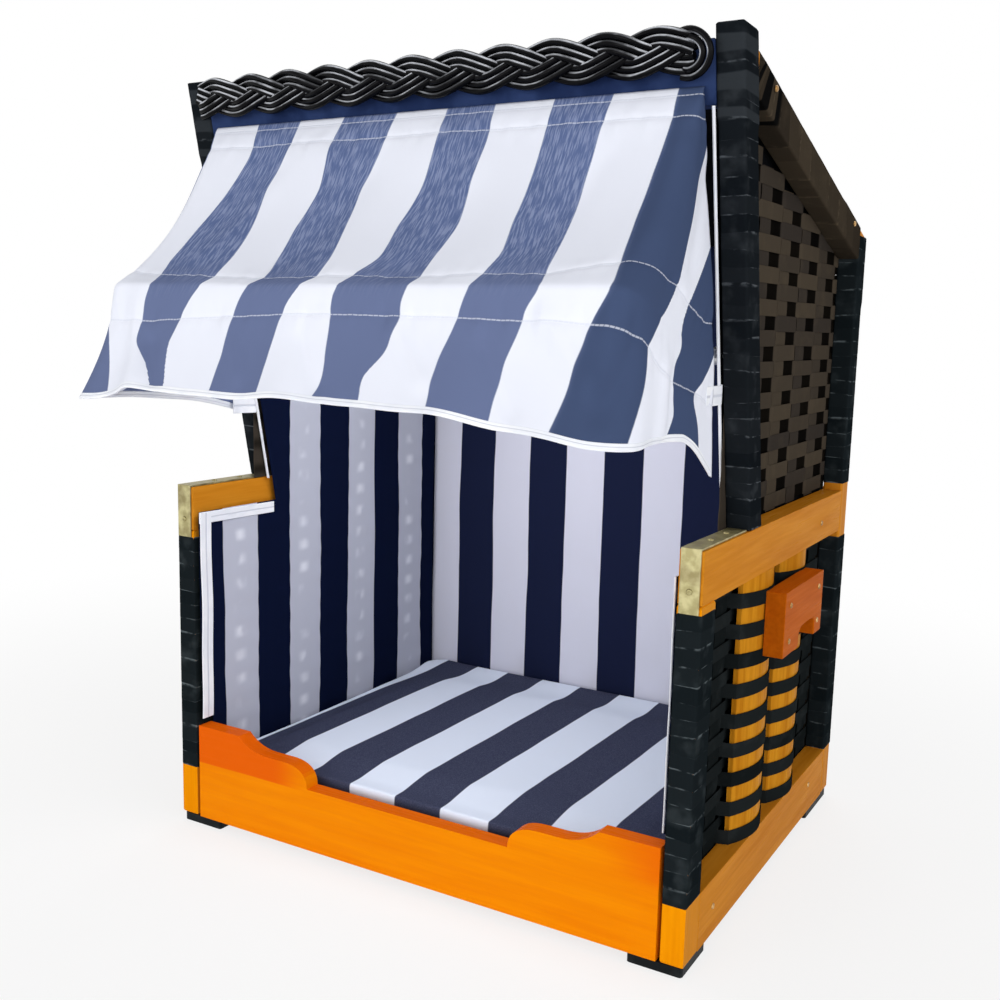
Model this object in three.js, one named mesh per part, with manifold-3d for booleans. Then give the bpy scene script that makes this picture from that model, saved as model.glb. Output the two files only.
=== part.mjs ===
// Dog beach chair: a small hooded wicker chair on a low timber frame, with a
// cushioned cabin, carry handles and a cloth awning on a hinged wire bow.
//
// Millimetres, +Z up. X runs across the chair, Y runs from front to back.
// The parts are drawn from the front face of the front posts (Y = 0) and from the
// underside of the timber (Z = 0); the whole chair is then centred on its feet.

import * as THREE from 'three';
import { mergeVertices } from 'three/addons/utils/BufferGeometryUtils.js';
import Module from 'manifold-3d';

const wasm = await Module();
wasm.setup();

// Overall sizes
const FRAME_WIDTH = 600;
const FRAME_DEPTH = 484;
const ARM_TOP = 372;
const HOOD_FRONT_TOP = 795;
const HOOD_REAR_TOP = 662;
const ROOF_FALL = THREE.MathUtils.degToRad(15.9);

// Fits between pieces
const CLEAR = 0.3;
const OVERRUN = 5;

// Timber sections
const TIMBER = 22;
const FRONT_POST_DEPTH = 34;
const REAR_POST_DEPTH = 29;
const ARM_HEIGHT = 47;
const BASE_RAIL_HEIGHT = 56;
const CROSS_RAIL_THICK = 14;
const REAR_TOP_RAIL_HEIGHT = 34;

// Hood timbers
const HOOD_POST_DEPTH = 34;
const HOOD_FOOT_SETBACK = 116;
const HOOD_HEAD_SETBACK = 25;
const ROOF_RAIL_DEPTH = 33;
const TOP_RAIL_THICK = 18;
const TOP_RAIL_LOW = 734;
const TOP_RAIL_HIGH = 784;

// Flat-strip wrapping round the posts
const WRAP_THICK = 1.2;
const REAR_WRAP_BARE = 8;

// Feet
const FOOT_HEIGHT = 10;
const FRONT_FOOT_WIDTH = 53;
const FRONT_FOOT_LENGTH = 58;
const REAR_FOOT_WIDTH = 53;
const REAR_FOOT_LENGTH = 88;
const FOOT_INSET = 1.5;

// Front board
const BOARD_THICK = 18;
const BOARD_END_GAP = 2.5;
const BOARD_HEIGHT = 106;
const BOARD_DIP_HEIGHT = 67;
const BOARD_HUMP_HEIGHT = 90.5;
const BOARD_FLAT = 59;
const BOARD_SCOOP = 41;
const BOARD_HUMP = 20;
const BOARD_ROUND = 33;
const BOARD_SCOOP_HANDLE_SHARES = [0.28, 0.6];
const BOARD_ROUND_HANDLE_SHARES = [0.62, 0.3];

// Seat
const SEAT_BOARD_THICK = 6;
const SEAT_BOARD_TOP = 37;
const BEARER_WIDTH = 18;
const BEARER_HEIGHT = 20;
const CUSHION_EDGE = 24;
const CUSHION_CROWN = 12;
const CUSHION_GAP = 2;
const CUSHION_TUCK = 5;
const CUSHION_CORNER = 22;
const CUSHION_SEAM_SHARE = 0.5;
const CUSHION_TOP_TUCK_SHARE = 0.5;
const CUSHION_BASE_TUCK_SHARE = 1.5;
const CUSHION_CROWN_POWER = 4;
const CUSHION_COLUMNS = 24;
const CUSHION_ROWS = 20;

// Woven panels and cloth linings, measured inwards from the frame's outer face
const WEAVE_INSET = 19.5;
const WEAVE_THICK = 7;
const LINING_THICK = 1.6;
const LINING_FRONT = 8;
const LINING_BOARD_GAP = 7;
const LINING_SHELF_DROP = 27;
const LINING_POST_OVERLAP = 3;
const WEAVE_ROOF_GAP = 4;
const ROOF_WEAVE_DROP = 6;

// Side slats and carry handles
const SLAT_BULGE = 12;
const SLAT_THICK = 5;
const SLAT_STARTS = [145, 262];
const SLAT_WIDTHS = [90, 86];
const HANDLE_START = 178;
const HANDLE_LENGTH = 137;
const HANDLE_LOW = 240;
const HANDLE_HEIGHT = 65;
const HANDLE_THICK = 20;
const FINGER_ARCH_LENGTH = 58;
const FINGER_ARCH_DEPTH = 20;
const FINGER_ARCH_SETBACK = 53;

// Angle plates on the armrests' front ends
const PLATE_WIDTH = 18;
const PLATE_THICK = 1.8;
const PLATE_OVERLAP = 7.5;

// Braided trim on the hood's front rail
const BRAID_HEIGHT = 36;
const BRAID_THICK = 16;
const BRAID_LENGTH = 556;
const BRAID_CENTRE = 775;

// Awning bow and its pivots
const BOW_WIRE = 8;
const BOW_SIDE_INSET = 33.5;
const BOW_BAR_SETBACK = -103;
const BOW_BAR_HEIGHT = 577;
const BOW_CORNER = 24;
const BOW_EYE = 16;
const BOW_EYE_THICK = 5;
const PIVOT_HEIGHT = 530;
const PIVOT_PIN = 5;
const PIVOT_HEAD = 12;
const PIVOT_HEAD_THICK = 3;
const PIVOT_DEPTH = 14;

// Awning cloth: its section from the top edge over the bow to the hem
const CLOTH_THICK = 1.2;
const CLOTH_TOP = 748;
const CLOTH_TOP_INSET = 33;
const CLOTH_BOW_INSET = 23.5;
const CLOTH_HEM_INSET = 15;
const CLOTH_SAG = 21;
const CLOTH_ROLL_OUT = 4.9;
const CLOTH_ROLL_UP = 4.6;
const CLOTH_HEM_SETBACK = -157;
const CLOTH_HEM_HEIGHT = 480;
const CLOTH_CORNER = 15;
const CLOTH_BOW_DROOP = 39;
const CLOTH_HEM_DROOP = 40;
const CLOTH_POST_GAP = 13;
const CLOTH_HEM_POST_GAP = 28;
const CLOTH_WAVE = 7;
const CLOTH_WAVES = 4.5;
const CLOTH_ROWS = 14;
const CLOTH_BOW_ROW = 9;
const CLOTH_COLUMNS = 38;
const CLOTH_WING_COLUMNS = 6;
const CLOTH_CORNER_COLUMNS = 3;
const CLOTH_SAG_SKEW = 1.25;
const STRAP_WIDTH = 17;
const STRAP_HEIGHTS = [456, 497];

// Derived places
const HALF = FRAME_WIDTH / 2;
const ARM_LOW = ARM_TOP - ARM_HEIGHT;
const REAR_FACE = FRAME_DEPTH - REAR_POST_DEPTH;
const WRAP_OUT = WRAP_THICK + CLEAR;
const LEAN = (HOOD_FOOT_SETBACK - HOOD_HEAD_SETBACK) / (HOOD_FRONT_TOP - ARM_TOP);
const FALL = Math.tan(ROOF_FALL);
const CROSS_RAIL_FRONT = FRAME_DEPTH - CROSS_RAIL_THICK;
const BACK_WEAVE_FRONT = CROSS_RAIL_FRONT - CLEAR - WEAVE_THICK;
const BACK_LINING_FRONT = BACK_WEAVE_FRONT - CLEAR - LINING_THICK;
const LINING_INSET = WEAVE_INSET + WEAVE_THICK + CLEAR;
const CABIN_HALF = HALF - LINING_INSET - LINING_THICK;
const PLATE_LOW = ARM_LOW - PLATE_OVERLAP;
const PIVOT_SETBACK = hoodFront(PIVOT_HEIGHT) + HOOD_POST_DEPTH / 2;

// Materials
const paint = (color, roughness, metalness = 0) => (
  new THREE.MeshStandardMaterial({ color, roughness, metalness })
);
const OAK_STAIN = paint(0xb8741e, 0.45);
const BOARD_STAIN = paint(0xf08a0a, 0.35);
const SLAT_STAIN = paint(0xbe7814, 0.45);
const HANDLE_STAIN = paint(0xc85f14, 0.35);
const SEAT_PLY = paint(0xb98a52, 0.6);
const WRAP_BLACK = paint(0x1e2326, 0.35);
const WEAVE_BLACK = paint(0x3c3732, 0.55);
const CLOTH_NAVY = paint(0x0a1430, 0.85);
const CLOTH_STRIPE = paint(0x8090b8, 0.8);
const CLOTH_WHITE = paint(0xe8ebf5, 0.8);
const BRAID_BLACK = paint(0x101214, 0.2);
const FOOT_BLACK = paint(0x151a1c, 0.6);
const ZINC_YELLOW = paint(0xb4b478, 0.4, 0.9);
const STEEL = paint(0xb0b4b8, 0.35, 0.9);

// Front face of the leaning hood posts at a height
function hoodFront(height) {
  return HOOD_HEAD_SETBACK + (HOOD_FRONT_TOP - height) * LEAN;
}

// Height of the roof's top line at a setback, less a drop
function roofLine(setback, drop = 0) {
  return HOOD_REAR_TOP + (FRAME_DEPTH - setback) * FALL - drop;
}

// Point on a line a drop under the roof, at a setback
function onRoof(setback, drop) {
  return [setback, roofLine(setback, drop)];
}

// Setback where that line meets a face parallel to the front of the hood posts
function atLeaningFace(behind, drop) {
  const faceAtTop = HOOD_HEAD_SETBACK + behind;
  return (faceAtTop + (HOOD_FRONT_TOP - roofLine(0, drop)) * LEAN) / (1 - FALL * LEAN);
}

function behindHoodPost(gap, drop) {
  return atLeaningFace(HOOD_POST_DEPTH + gap, drop);
}

function behindTopRail(drop) {
  return atLeaningFace(TOP_RAIL_THICK + CLEAR, drop);
}

// Solids and their booleans
function toSolid(geometry) {
  const bare = geometry.clone();
  bare.deleteAttribute('normal');
  bare.deleteAttribute('uv');
  const merged = mergeVertices(bare);
  return new wasm.Manifold(new wasm.Mesh({
    numProp: 3,
    vertProperties: new Float32Array(merged.attributes.position.array),
    triVerts: new Uint32Array(merged.index.array),
  }));
}

function toGeometry(solid) {
  const mesh = solid.getMesh();
  const geometry = new THREE.BufferGeometry();
  geometry.setAttribute('position', new THREE.BufferAttribute(mesh.vertProperties, 3));
  geometry.setIndex(new THREE.BufferAttribute(mesh.triVerts, 1));
  geometry.computeVertexNormals();
  return geometry;
}

function named(name, geometry, material) {
  const mesh = new THREE.Mesh(geometry, material);
  mesh.name = name;
  return mesh;
}

// A box between two corners
function box(name, material, low, high) {
  const size = high.map((value, axis) => value - low[axis]);
  const mesh = named(name, new THREE.BoxGeometry(...size), material);
  mesh.position.set(...high.map((value, axis) => (value + low[axis]) / 2));
  return mesh;
}

// An outline drawn in Y and Z, extruded across the chair from one X to another
const SIDEWAYS = new THREE.Matrix4().makeBasis(
  new THREE.Vector3(0, 1, 0),
  new THREE.Vector3(0, 0, 1),
  new THREE.Vector3(1, 0, 0),
);

function crossGeometry(outline, [from, to], curveSegments = 8) {
  const shape = outline instanceof THREE.Shape ? outline : shapeOf(outline);
  const options = { depth: to - from, bevelEnabled: false, curveSegments };
  return new THREE.ExtrudeGeometry(shape, options);
}

function shapeOf(points) {
  return new THREE.Shape(points.map(([a, b]) => new THREE.Vector2(a, b)));
}

function across(name, material, outline, span, curveSegments) {
  const mesh = named(name, crossGeometry(outline, span, curveSegments), material);
  mesh.setRotationFromMatrix(SIDEWAYS);
  mesh.position.x = span[0];
  return mesh;
}

function acrossSolid(outline, span) {
  const geometry = crossGeometry(outline, span).applyMatrix4(SIDEWAYS);
  return toSolid(geometry.translate(span[0], 0, 0));
}

// A round bar across the chair
function crossPin(radius, [from, to], setback, height) {
  const geometry = new THREE.CylinderGeometry(radius, radius, to - from, 20);
  geometry.rotateZ(Math.PI / 2).translate((from + to) / 2, setback, height);
  return toSolid(geometry);
}

// The X span of a piece on one side, given as insets from the frame's outer face
function sideSpan(side, outerInset, innerInset) {
  const reach = [HALF - innerInset, HALF - outerInset];
  return side > 0 ? reach : [-reach[1], -reach[0]];
}

function pair(base, build) {
  return [
    [-1, 'left'],
    [1, 'right'],
  ].flatMap(([side, word]) => build(side, `${base}_${word}`));
}

// Outlines of the upright and the sloping timbers, optionally grown all round
function uprightOutline(front, depth, low, high, grow = 0) {
  return [
    [front(low) - grow, low],
    [front(low) + depth + grow, low],
    [front(high) + depth + grow, high],
    [front(high) - grow, high],
  ];
}

function roofOutline(frontGap, rearGap, grow, top = 0, bottom = ROOF_RAIL_DEPTH / Math.cos(ROOF_FALL)) {
  const upper = top - grow;
  const lower = bottom + grow;
  const rear = REAR_FACE - rearGap;
  return [
    onRoof(behindHoodPost(frontGap, lower), lower),
    onRoof(rear, lower),
    onRoof(rear, upper),
    onRoof(behindHoodPost(frontGap, upper), upper),
  ];
}

const atFront = () => 0;
const atRear = () => REAR_FACE;

// A hollow sleeve of wound strip, less any solids that pass through its wall
function sleeve(name, side, outline, holeOutline, cutters = []) {
  const outer = acrossSolid(outline, sideSpan(side, -WRAP_OUT, TIMBER + WRAP_OUT));
  const hole = acrossSolid(holeOutline, sideSpan(side, -CLEAR, TIMBER + CLEAR));
  const wound = cutters.reduce((solid, cutter) => solid.subtract(cutter), outer.subtract(hole));
  return named(name, toGeometry(wound), WRAP_BLACK);
}

function uprightSleeve(name, side, front, depth, low, high, cutters) {
  return sleeve(
    name,
    side,
    uprightOutline(front, depth, low, high, WRAP_OUT),
    uprightOutline(front, depth, low - OVERRUN, high + OVERRUN, CLEAR),
    cutters,
  );
}

function roofRailCutter(side) {
  return acrossSolid(
    roofOutline(-OVERRUN, -OVERRUN, CLEAR),
    sideSpan(side, -CLEAR, TIMBER + CLEAR),
  );
}

function pivotCutter(side) {
  const span = sideSpan(side, TIMBER - PIVOT_DEPTH - CLEAR, TIMBER + OVERRUN);
  return crossPin(PIVOT_PIN / 2 + CLEAR, span, PIVOT_SETBACK, PIVOT_HEIGHT);
}

// Side frames: posts, armrests and base rails
function sideFrames() {
  const timber = (side) => sideSpan(side, 0, TIMBER);
  const rearPost = [
    [REAR_FACE, 0],
    [FRAME_DEPTH, 0],
    [FRAME_DEPTH, roofLine(FRAME_DEPTH)],
    [REAR_FACE, roofLine(REAR_FACE)],
  ];
  return [
    ...pair('front_post', (side, name) => across(
      name, OAK_STAIN, uprightOutline(atFront, FRONT_POST_DEPTH, 0, ARM_LOW - CLEAR), timber(side),
    )),
    ...pair('rear_post', (side, name) => across(name, OAK_STAIN, rearPost, timber(side))),
    ...pair('armrest', (side, name) => box(
      name, OAK_STAIN,
      [timber(side)[0], 0, ARM_LOW],
      [timber(side)[1], REAR_FACE - CLEAR, ARM_TOP],
    )),
    ...pair('base_rail', (side, name) => box(
      name, OAK_STAIN,
      [timber(side)[0], FRONT_POST_DEPTH + CLEAR, 0],
      [timber(side)[1], REAR_FACE - CLEAR, BASE_RAIL_HEIGHT],
    )),
  ];
}

// Cross rails at the back
function crossRails() {
  const betweenPosts = HALF - TIMBER - CLEAR;
  const betweenWraps = HALF - TIMBER - WRAP_OUT - CLEAR;
  const topRailHigh = HOOD_REAR_TOP - ROOF_WEAVE_DROP;
  const rail = (name, half, low, high) => box(
    name, OAK_STAIN, [-half, CROSS_RAIL_FRONT, low], [half, FRAME_DEPTH, high],
  );
  return [
    rail('base_rail_rear', betweenPosts, 0, BASE_RAIL_HEIGHT),
    rail('back_mid_rail', betweenPosts, ARM_LOW, ARM_TOP),
    rail('hood_rear_top_rail', betweenWraps, topRailHigh - REAR_TOP_RAIL_HEIGHT, topRailHigh),
  ];
}

// Hood: leaning front posts, roof rails and the rail that carries the braid
function hoodFrame() {
  const topRailHalf = HALF - TIMBER - WRAP_OUT - CLEAR;
  const posts = pair('hood_front_post', (side, name) => {
    const outline = uprightOutline(hoodFront, HOOD_POST_DEPTH, ARM_TOP + CLEAR, HOOD_FRONT_TOP);
    const post = acrossSolid(outline, sideSpan(side, 0, TIMBER)).subtract(pivotCutter(side));
    return named(name, toGeometry(post), OAK_STAIN);
  });
  const rails = pair('roof_rail', (side, name) => across(
    name, OAK_STAIN, roofOutline(CLEAR, CLEAR, 0), sideSpan(side, 0, TIMBER),
  ));
  const topRail = across(
    'hood_front_top_rail', CLOTH_NAVY,
    uprightOutline(hoodFront, TOP_RAIL_THICK, TOP_RAIL_LOW, TOP_RAIL_HIGH),
    [-topRailHalf, topRailHalf],
  );
  return [...posts, ...rails, topRail];
}

// Wound strip on every post and rail of the hood and of the side frames
function wraps() {
  const wrapLow = BASE_RAIL_HEIGHT + CLEAR;
  return [
    ...pair('front_post_wrap', (side, name) => uprightSleeve(
      name, side, atFront, FRONT_POST_DEPTH, wrapLow, PLATE_LOW - CLEAR,
    )),
    ...pair('rear_post_lower_wrap', (side, name) => uprightSleeve(
      name, side, atRear, REAR_POST_DEPTH, wrapLow, ARM_LOW - REAR_WRAP_BARE,
    )),
    ...pair('rear_post_upper_wrap', (side, name) => uprightSleeve(
      name, side, atRear, REAR_POST_DEPTH, ARM_TOP + REAR_WRAP_BARE, HOOD_REAR_TOP,
      [roofRailCutter(side)],
    )),
    ...pair('hood_front_post_wrap', (side, name) => uprightSleeve(
      name, side, hoodFront, HOOD_POST_DEPTH, ARM_TOP + 2 * CLEAR, HOOD_FRONT_TOP - CLEAR,
      [roofRailCutter(side), pivotCutter(side)],
    )),
    ...pair('roof_rail_wrap', (side, name) => sleeve(
      name,
      side,
      roofOutline(WRAP_OUT + CLEAR, WRAP_OUT + CLEAR, WRAP_OUT),
      roofOutline(-OVERRUN, -OVERRUN, CLEAR),
    )),
  ];
}

// Front board with a dip in the middle between two shaped ends
function frontBoard() {
  const half = HALF - TIMBER - WRAP_OUT - BOARD_END_GAP;
  const flat = half - BOARD_FLAT;
  const scoop = flat - BOARD_SCOOP;
  const hump = scoop - BOARD_HUMP;
  const dip = hump - BOARD_ROUND;
  const [scoopOut, scoopIn] = BOARD_SCOOP_HANDLE_SHARES.map((share) => flat - share * BOARD_SCOOP);
  const scoopHigh = BOARD_HUMP_HEIGHT
    + (BOARD_HEIGHT - BOARD_HUMP_HEIGHT) * BOARD_SCOOP_HANDLE_SHARES[0];
  const [roundOut, roundDown] = BOARD_ROUND_HANDLE_SHARES;
  const roundIn = hump - roundOut * BOARD_ROUND;
  const roundLow = BOARD_HUMP_HEIGHT - roundDown * (BOARD_HUMP_HEIGHT - BOARD_DIP_HEIGHT);
  const outline = new THREE.Shape();
  outline.moveTo(-half, 0);
  outline.lineTo(half, 0);
  outline.lineTo(half, BOARD_HEIGHT);
  outline.lineTo(flat, BOARD_HEIGHT);
  outline.bezierCurveTo(scoopOut, scoopHigh, scoopIn, BOARD_HUMP_HEIGHT, scoop, BOARD_HUMP_HEIGHT);
  outline.lineTo(hump, BOARD_HUMP_HEIGHT);
  outline.bezierCurveTo(roundIn, BOARD_HUMP_HEIGHT, dip, roundLow, dip, BOARD_DIP_HEIGHT);
  outline.lineTo(-dip, BOARD_DIP_HEIGHT);
  outline.bezierCurveTo(-dip, roundLow, -roundIn, BOARD_HUMP_HEIGHT, -hump, BOARD_HUMP_HEIGHT);
  outline.lineTo(-scoop, BOARD_HUMP_HEIGHT);
  outline.bezierCurveTo(
    -scoopIn, BOARD_HUMP_HEIGHT, -scoopOut, scoopHigh, -flat, BOARD_HEIGHT,
  );
  outline.lineTo(-half, BOARD_HEIGHT);
  const options = { depth: BOARD_THICK, bevelEnabled: false, curveSegments: 10 };
  const board = named('front_board', new THREE.ExtrudeGeometry(outline, options), BOARD_STAIN);
  board.rotation.x = Math.PI / 2;
  board.position.y = BOARD_THICK;
  return board;
}

// Feet under the four corners
function feet() {
  const outer = HALF - FOOT_INSET;
  const foot = (name, side, width, from, to) => {
    const reach = [outer - width, outer];
    const [low, high] = side > 0 ? reach : [-reach[1], -reach[0]];
    return box(name, FOOT_BLACK, [low, from, -FOOT_HEIGHT], [high, to, -CLEAR]);
  };
  return [
    ...pair('front_foot', (side, name) => foot(
      name, side, FRONT_FOOT_WIDTH, FOOT_INSET, FOOT_INSET + FRONT_FOOT_LENGTH,
    )),
    ...pair('rear_foot', (side, name) => foot(
      name, side, REAR_FOOT_WIDTH, FRAME_DEPTH - FOOT_INSET - REAR_FOOT_LENGTH, FRAME_DEPTH - FOOT_INSET,
    )),
  ];
}

// Seat board on two bearers, and the loose cushion
function seatBase() {
  const inner = HALF - TIMBER - CLEAR;
  const boardLow = SEAT_BOARD_TOP - SEAT_BOARD_THICK;
  const front = BOARD_THICK + CLEAR;
  const rear = CROSS_RAIL_FRONT - CLEAR;
  return [
    box('seat_board', SEAT_PLY, [-inner, front, boardLow], [inner, rear, SEAT_BOARD_TOP]),
    ...pair('seat_bearer', (side, name) => {
      const [low, high] = sideSpan(side, TIMBER + CLEAR, TIMBER + CLEAR + BEARER_WIDTH);
      const top = boardLow - CLEAR;
      return box(name, OAK_STAIN, [low, front, top - BEARER_HEIGHT], [high, rear, top]);
    }),
  ];
}

// A closed skin over two grids of points, joined round their edges
function skin(columns, rows, outerPoint, innerPoint) {
  const points = [];
  const faces = [];
  const index = (layer, i, j) => (layer * (rows + 1) + j) * (columns + 1) + i;
  [outerPoint, innerPoint].forEach((point) => {
    for (let j = 0; j <= rows; j += 1) {
      for (let i = 0; i <= columns; i += 1) {
        points.push(...point(i / columns, j / rows));
      }
    }
  });
  const quad = (a, b, c, d) => faces.push(a, b, c, a, c, d);
  for (let j = 0; j < rows; j += 1) {
    for (let i = 0; i < columns; i += 1) {
      quad(index(0, i, j), index(0, i + 1, j), index(0, i + 1, j + 1), index(0, i, j + 1));
      quad(index(1, i, j), index(1, i, j + 1), index(1, i + 1, j + 1), index(1, i + 1, j));
    }
  }
  for (let i = 0; i < columns; i += 1) {
    quad(index(0, i, 0), index(1, i, 0), index(1, i + 1, 0), index(0, i + 1, 0));
    quad(index(0, i, rows), index(0, i + 1, rows), index(1, i + 1, rows), index(1, i, rows));
  }
  for (let j = 0; j < rows; j += 1) {
    quad(index(0, 0, j), index(0, 0, j + 1), index(1, 0, j + 1), index(1, 0, j));
    quad(index(0, columns, j), index(1, columns, j), index(1, columns, j + 1), index(0, columns, j + 1));
  }
  const geometry = new THREE.BufferGeometry();
  geometry.setAttribute('position', new THREE.Float32BufferAttribute(points, 3));
  geometry.setIndex(faces);
  geometry.computeVertexNormals();
  return geometry;
}

// Cushion: a flat base, drawn-in sides and a crowned top
function cushion() {
  const halfWidth = CABIN_HALF - CUSHION_GAP;
  const front = BOARD_THICK + CUSHION_GAP;
  const rear = BACK_LINING_FRONT - CUSHION_GAP;
  const halfDepth = (rear - front) / 2;
  const middle = (rear + front) / 2;
  const base = SEAT_BOARD_TOP + CLEAR;
  const ease = (t) => Math.sin((t - 0.5) * Math.PI) / 2 + 0.5;
  const place = (u, v, tuck) => {
    const x = (2 * ease(u) - 1) * halfWidth;
    const y = (2 * ease(v) - 1) * halfDepth;
    const cornerX = Math.max(0, Math.abs(x) - halfWidth + CUSHION_CORNER);
    const cornerY = Math.max(0, Math.abs(y) - halfDepth + CUSHION_CORNER);
    const reach = Math.hypot(cornerX, cornerY);
    const most = Math.max(cornerX, cornerY);
    const pull = reach > 0 ? most / reach : 1;
    const shrinkX = cornerX > 0 ? (halfWidth - CUSHION_CORNER + cornerX * pull) / Math.abs(x) : 1;
    const shrinkY = cornerY > 0 ? (halfDepth - CUSHION_CORNER + cornerY * pull) / Math.abs(y) : 1;
    const draw = [1 - tuck / halfWidth, 1 - tuck / halfDepth];
    return [x * shrinkX * draw[0], middle + y * shrinkY * draw[1]];
  };
  const crown = (u, v) => {
    const dome = (t) => 1 - Math.abs(2 * t - 1) ** CUSHION_CROWN_POWER;
    return CUSHION_CROWN * dome(u) * dome(v);
  };
  const edgeAt = (u, v) => u === 0 || u === 1 || v === 0 || v === 1;
  const top = (u, v) => {
    const tuck = edgeAt(u, v) ? 0 : CUSHION_TUCK * CUSHION_TOP_TUCK_SHARE;
    const rise = CUSHION_EDGE * (edgeAt(u, v) ? CUSHION_SEAM_SHARE : 1);
    return [...place(u, v, tuck), base + rise + crown(u, v)];
  };
  const bottom = (u, v) => {
    const tuck = CUSHION_TUCK * (edgeAt(u, v) ? 1 : CUSHION_BASE_TUCK_SHARE);
    return [...place(u, v, tuck), base];
  };
  return named('seat_cushion', skin(CUSHION_COLUMNS, CUSHION_ROWS, top, bottom), CLOTH_STRIPE);
}

// Woven panels: plain slabs where the strips cross
function weaves() {
  const span = (side) => sideSpan(side, WEAVE_INSET, WEAVE_INSET + WEAVE_THICK);
  const rearEdge = REAR_FACE - WRAP_OUT - CLEAR;
  const lowerFront = FRONT_POST_DEPTH + WRAP_OUT + CLEAR;
  const hoodDrop = ROOF_RAIL_DEPTH / Math.cos(ROOF_FALL) + WRAP_OUT + CLEAR;
  const gap = WRAP_OUT + CLEAR;
  const hoodLow = ARM_TOP + CLEAR;
  const hoodOutline = [
    [hoodFront(hoodLow) + HOOD_POST_DEPTH + gap, hoodLow],
    [rearEdge, hoodLow],
    onRoof(rearEdge, hoodDrop),
    onRoof(behindHoodPost(gap, hoodDrop), hoodDrop),
  ];
  const backHalf = HALF - TIMBER - WRAP_OUT - CLEAR;
  const backTop = roofLine(BACK_WEAVE_FRONT, ROOF_WEAVE_DROP + WEAVE_THICK + WEAVE_ROOF_GAP);
  const roofTop = ROOF_WEAVE_DROP;
  const roofBottom = ROOF_WEAVE_DROP + WEAVE_THICK;
  const roofRear = CROSS_RAIL_FRONT - CLEAR;
  const roofPoints = [
    onRoof(behindTopRail(roofBottom), roofBottom),
    onRoof(roofRear, roofBottom),
    onRoof(roofRear, roofTop),
    onRoof(behindTopRail(roofTop), roofTop),
  ];
  return [
    ...pair('lower_side_weave', (side, name) => box(
      name, WEAVE_BLACK,
      [span(side)[0], lowerFront, BASE_RAIL_HEIGHT + CLEAR],
      [span(side)[1], rearEdge, ARM_LOW - CLEAR],
    )),
    ...pair('hood_side_weave', (side, name) => across(name, WEAVE_BLACK, hoodOutline, span(side))),
    box(
      'back_weave', WEAVE_BLACK,
      [-backHalf, BACK_WEAVE_FRONT, SEAT_BOARD_TOP + CLEAR],
      [backHalf, BACK_WEAVE_FRONT + WEAVE_THICK, backTop],
    ),
    across('roof_weave', WEAVE_BLACK, roofPoints, [-backHalf, backHalf]),
  ];
}

// Cloth linings: two sides, back and roof
function linings() {
  const low = SEAT_BOARD_TOP + CLEAR;
  const shelf = ARM_TOP - LINING_SHELF_DROP;
  const roofDrop = ROOF_WEAVE_DROP + WEAVE_THICK + CLEAR;
  const roofUnderside = roofDrop + LINING_THICK;
  const underRoof = roofUnderside + CLEAR;
  const front = (height) => hoodFront(height) + LINING_POST_OVERLAP;
  const belowRail = TOP_RAIL_LOW - CLEAR;
  const behindBoard = BOARD_THICK + CLEAR;
  const overBoard = BOARD_HEIGHT + LINING_BOARD_GAP;
  const rear = BACK_WEAVE_FRONT - CLEAR;
  const sideOutline = [
    [behindBoard, low],
    [rear, low],
    onRoof(rear, underRoof),
    onRoof(behindTopRail(underRoof), underRoof),
    [hoodFront(belowRail) + TOP_RAIL_THICK + CLEAR, belowRail],
    [front(belowRail), belowRail],
    [front(shelf), shelf],
    [LINING_FRONT, shelf],
    [LINING_FRONT, overBoard],
    [behindBoard, overBoard],
  ];
  const backHalf = CABIN_HALF - CLEAR;
  const backTop = roofLine(BACK_WEAVE_FRONT, underRoof);
  const roofPoints = [
    onRoof(behindTopRail(roofUnderside), roofUnderside),
    onRoof(rear, roofUnderside),
    onRoof(rear, roofDrop),
    onRoof(behindTopRail(roofDrop), roofDrop),
  ];
  const lining = (side) => sideSpan(side, LINING_INSET, LINING_INSET + LINING_THICK);
  return [
    ...pair('side_lining', (side, name) => {
      const cloth = acrossSolid(sideOutline, lining(side));
      const grommet = crossPin(
        PIVOT_PIN / 2 + 2 * CLEAR, sideSpan(side, TIMBER, HALF - CABIN_HALF + OVERRUN),
        PIVOT_SETBACK, PIVOT_HEIGHT,
      );
      return named(name, toGeometry(cloth.subtract(grommet)), CLOTH_NAVY);
    }),
    box(
      'back_lining', CLOTH_NAVY,
      [-backHalf, BACK_LINING_FRONT, low],
      [backHalf, BACK_LINING_FRONT + LINING_THICK, backTop],
    ),
    across('roof_lining', CLOTH_NAVY, roofPoints, [-backHalf, backHalf]),
  ];
}

// Two thin slats in each side panel, bowed outwards as far as the frame's face
function slats() {
  return ['front', 'rear'].flatMap((word, order) => pair(`side_slat_${word}`, (side, name) => {
    const start = SLAT_STARTS[order];
    const width = SLAT_WIDTHS[order];
    const middle = start + width / 2;
    const end = start + width;
    const outer = HALF - SLAT_BULGE;
    const inner = outer - SLAT_THICK;
    const outline = new THREE.Shape();
    outline.moveTo(side * inner, start);
    outline.lineTo(side * outer, start);
    outline.quadraticCurveTo(side * (outer + 2 * SLAT_BULGE), middle, side * outer, end);
    outline.lineTo(side * inner, end);
    outline.quadraticCurveTo(side * (inner + 2 * SLAT_BULGE), middle, side * inner, start);
    const low = BASE_RAIL_HEIGHT + CLEAR;
    const options = {
      depth: ARM_LOW - CLEAR - low,
      bevelEnabled: false,
      curveSegments: 12,
    };
    const slat = named(name, new THREE.ExtrudeGeometry(outline, options), SLAT_STAIN);
    slat.position.z = low;
    return slat;
  }));
}

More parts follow.
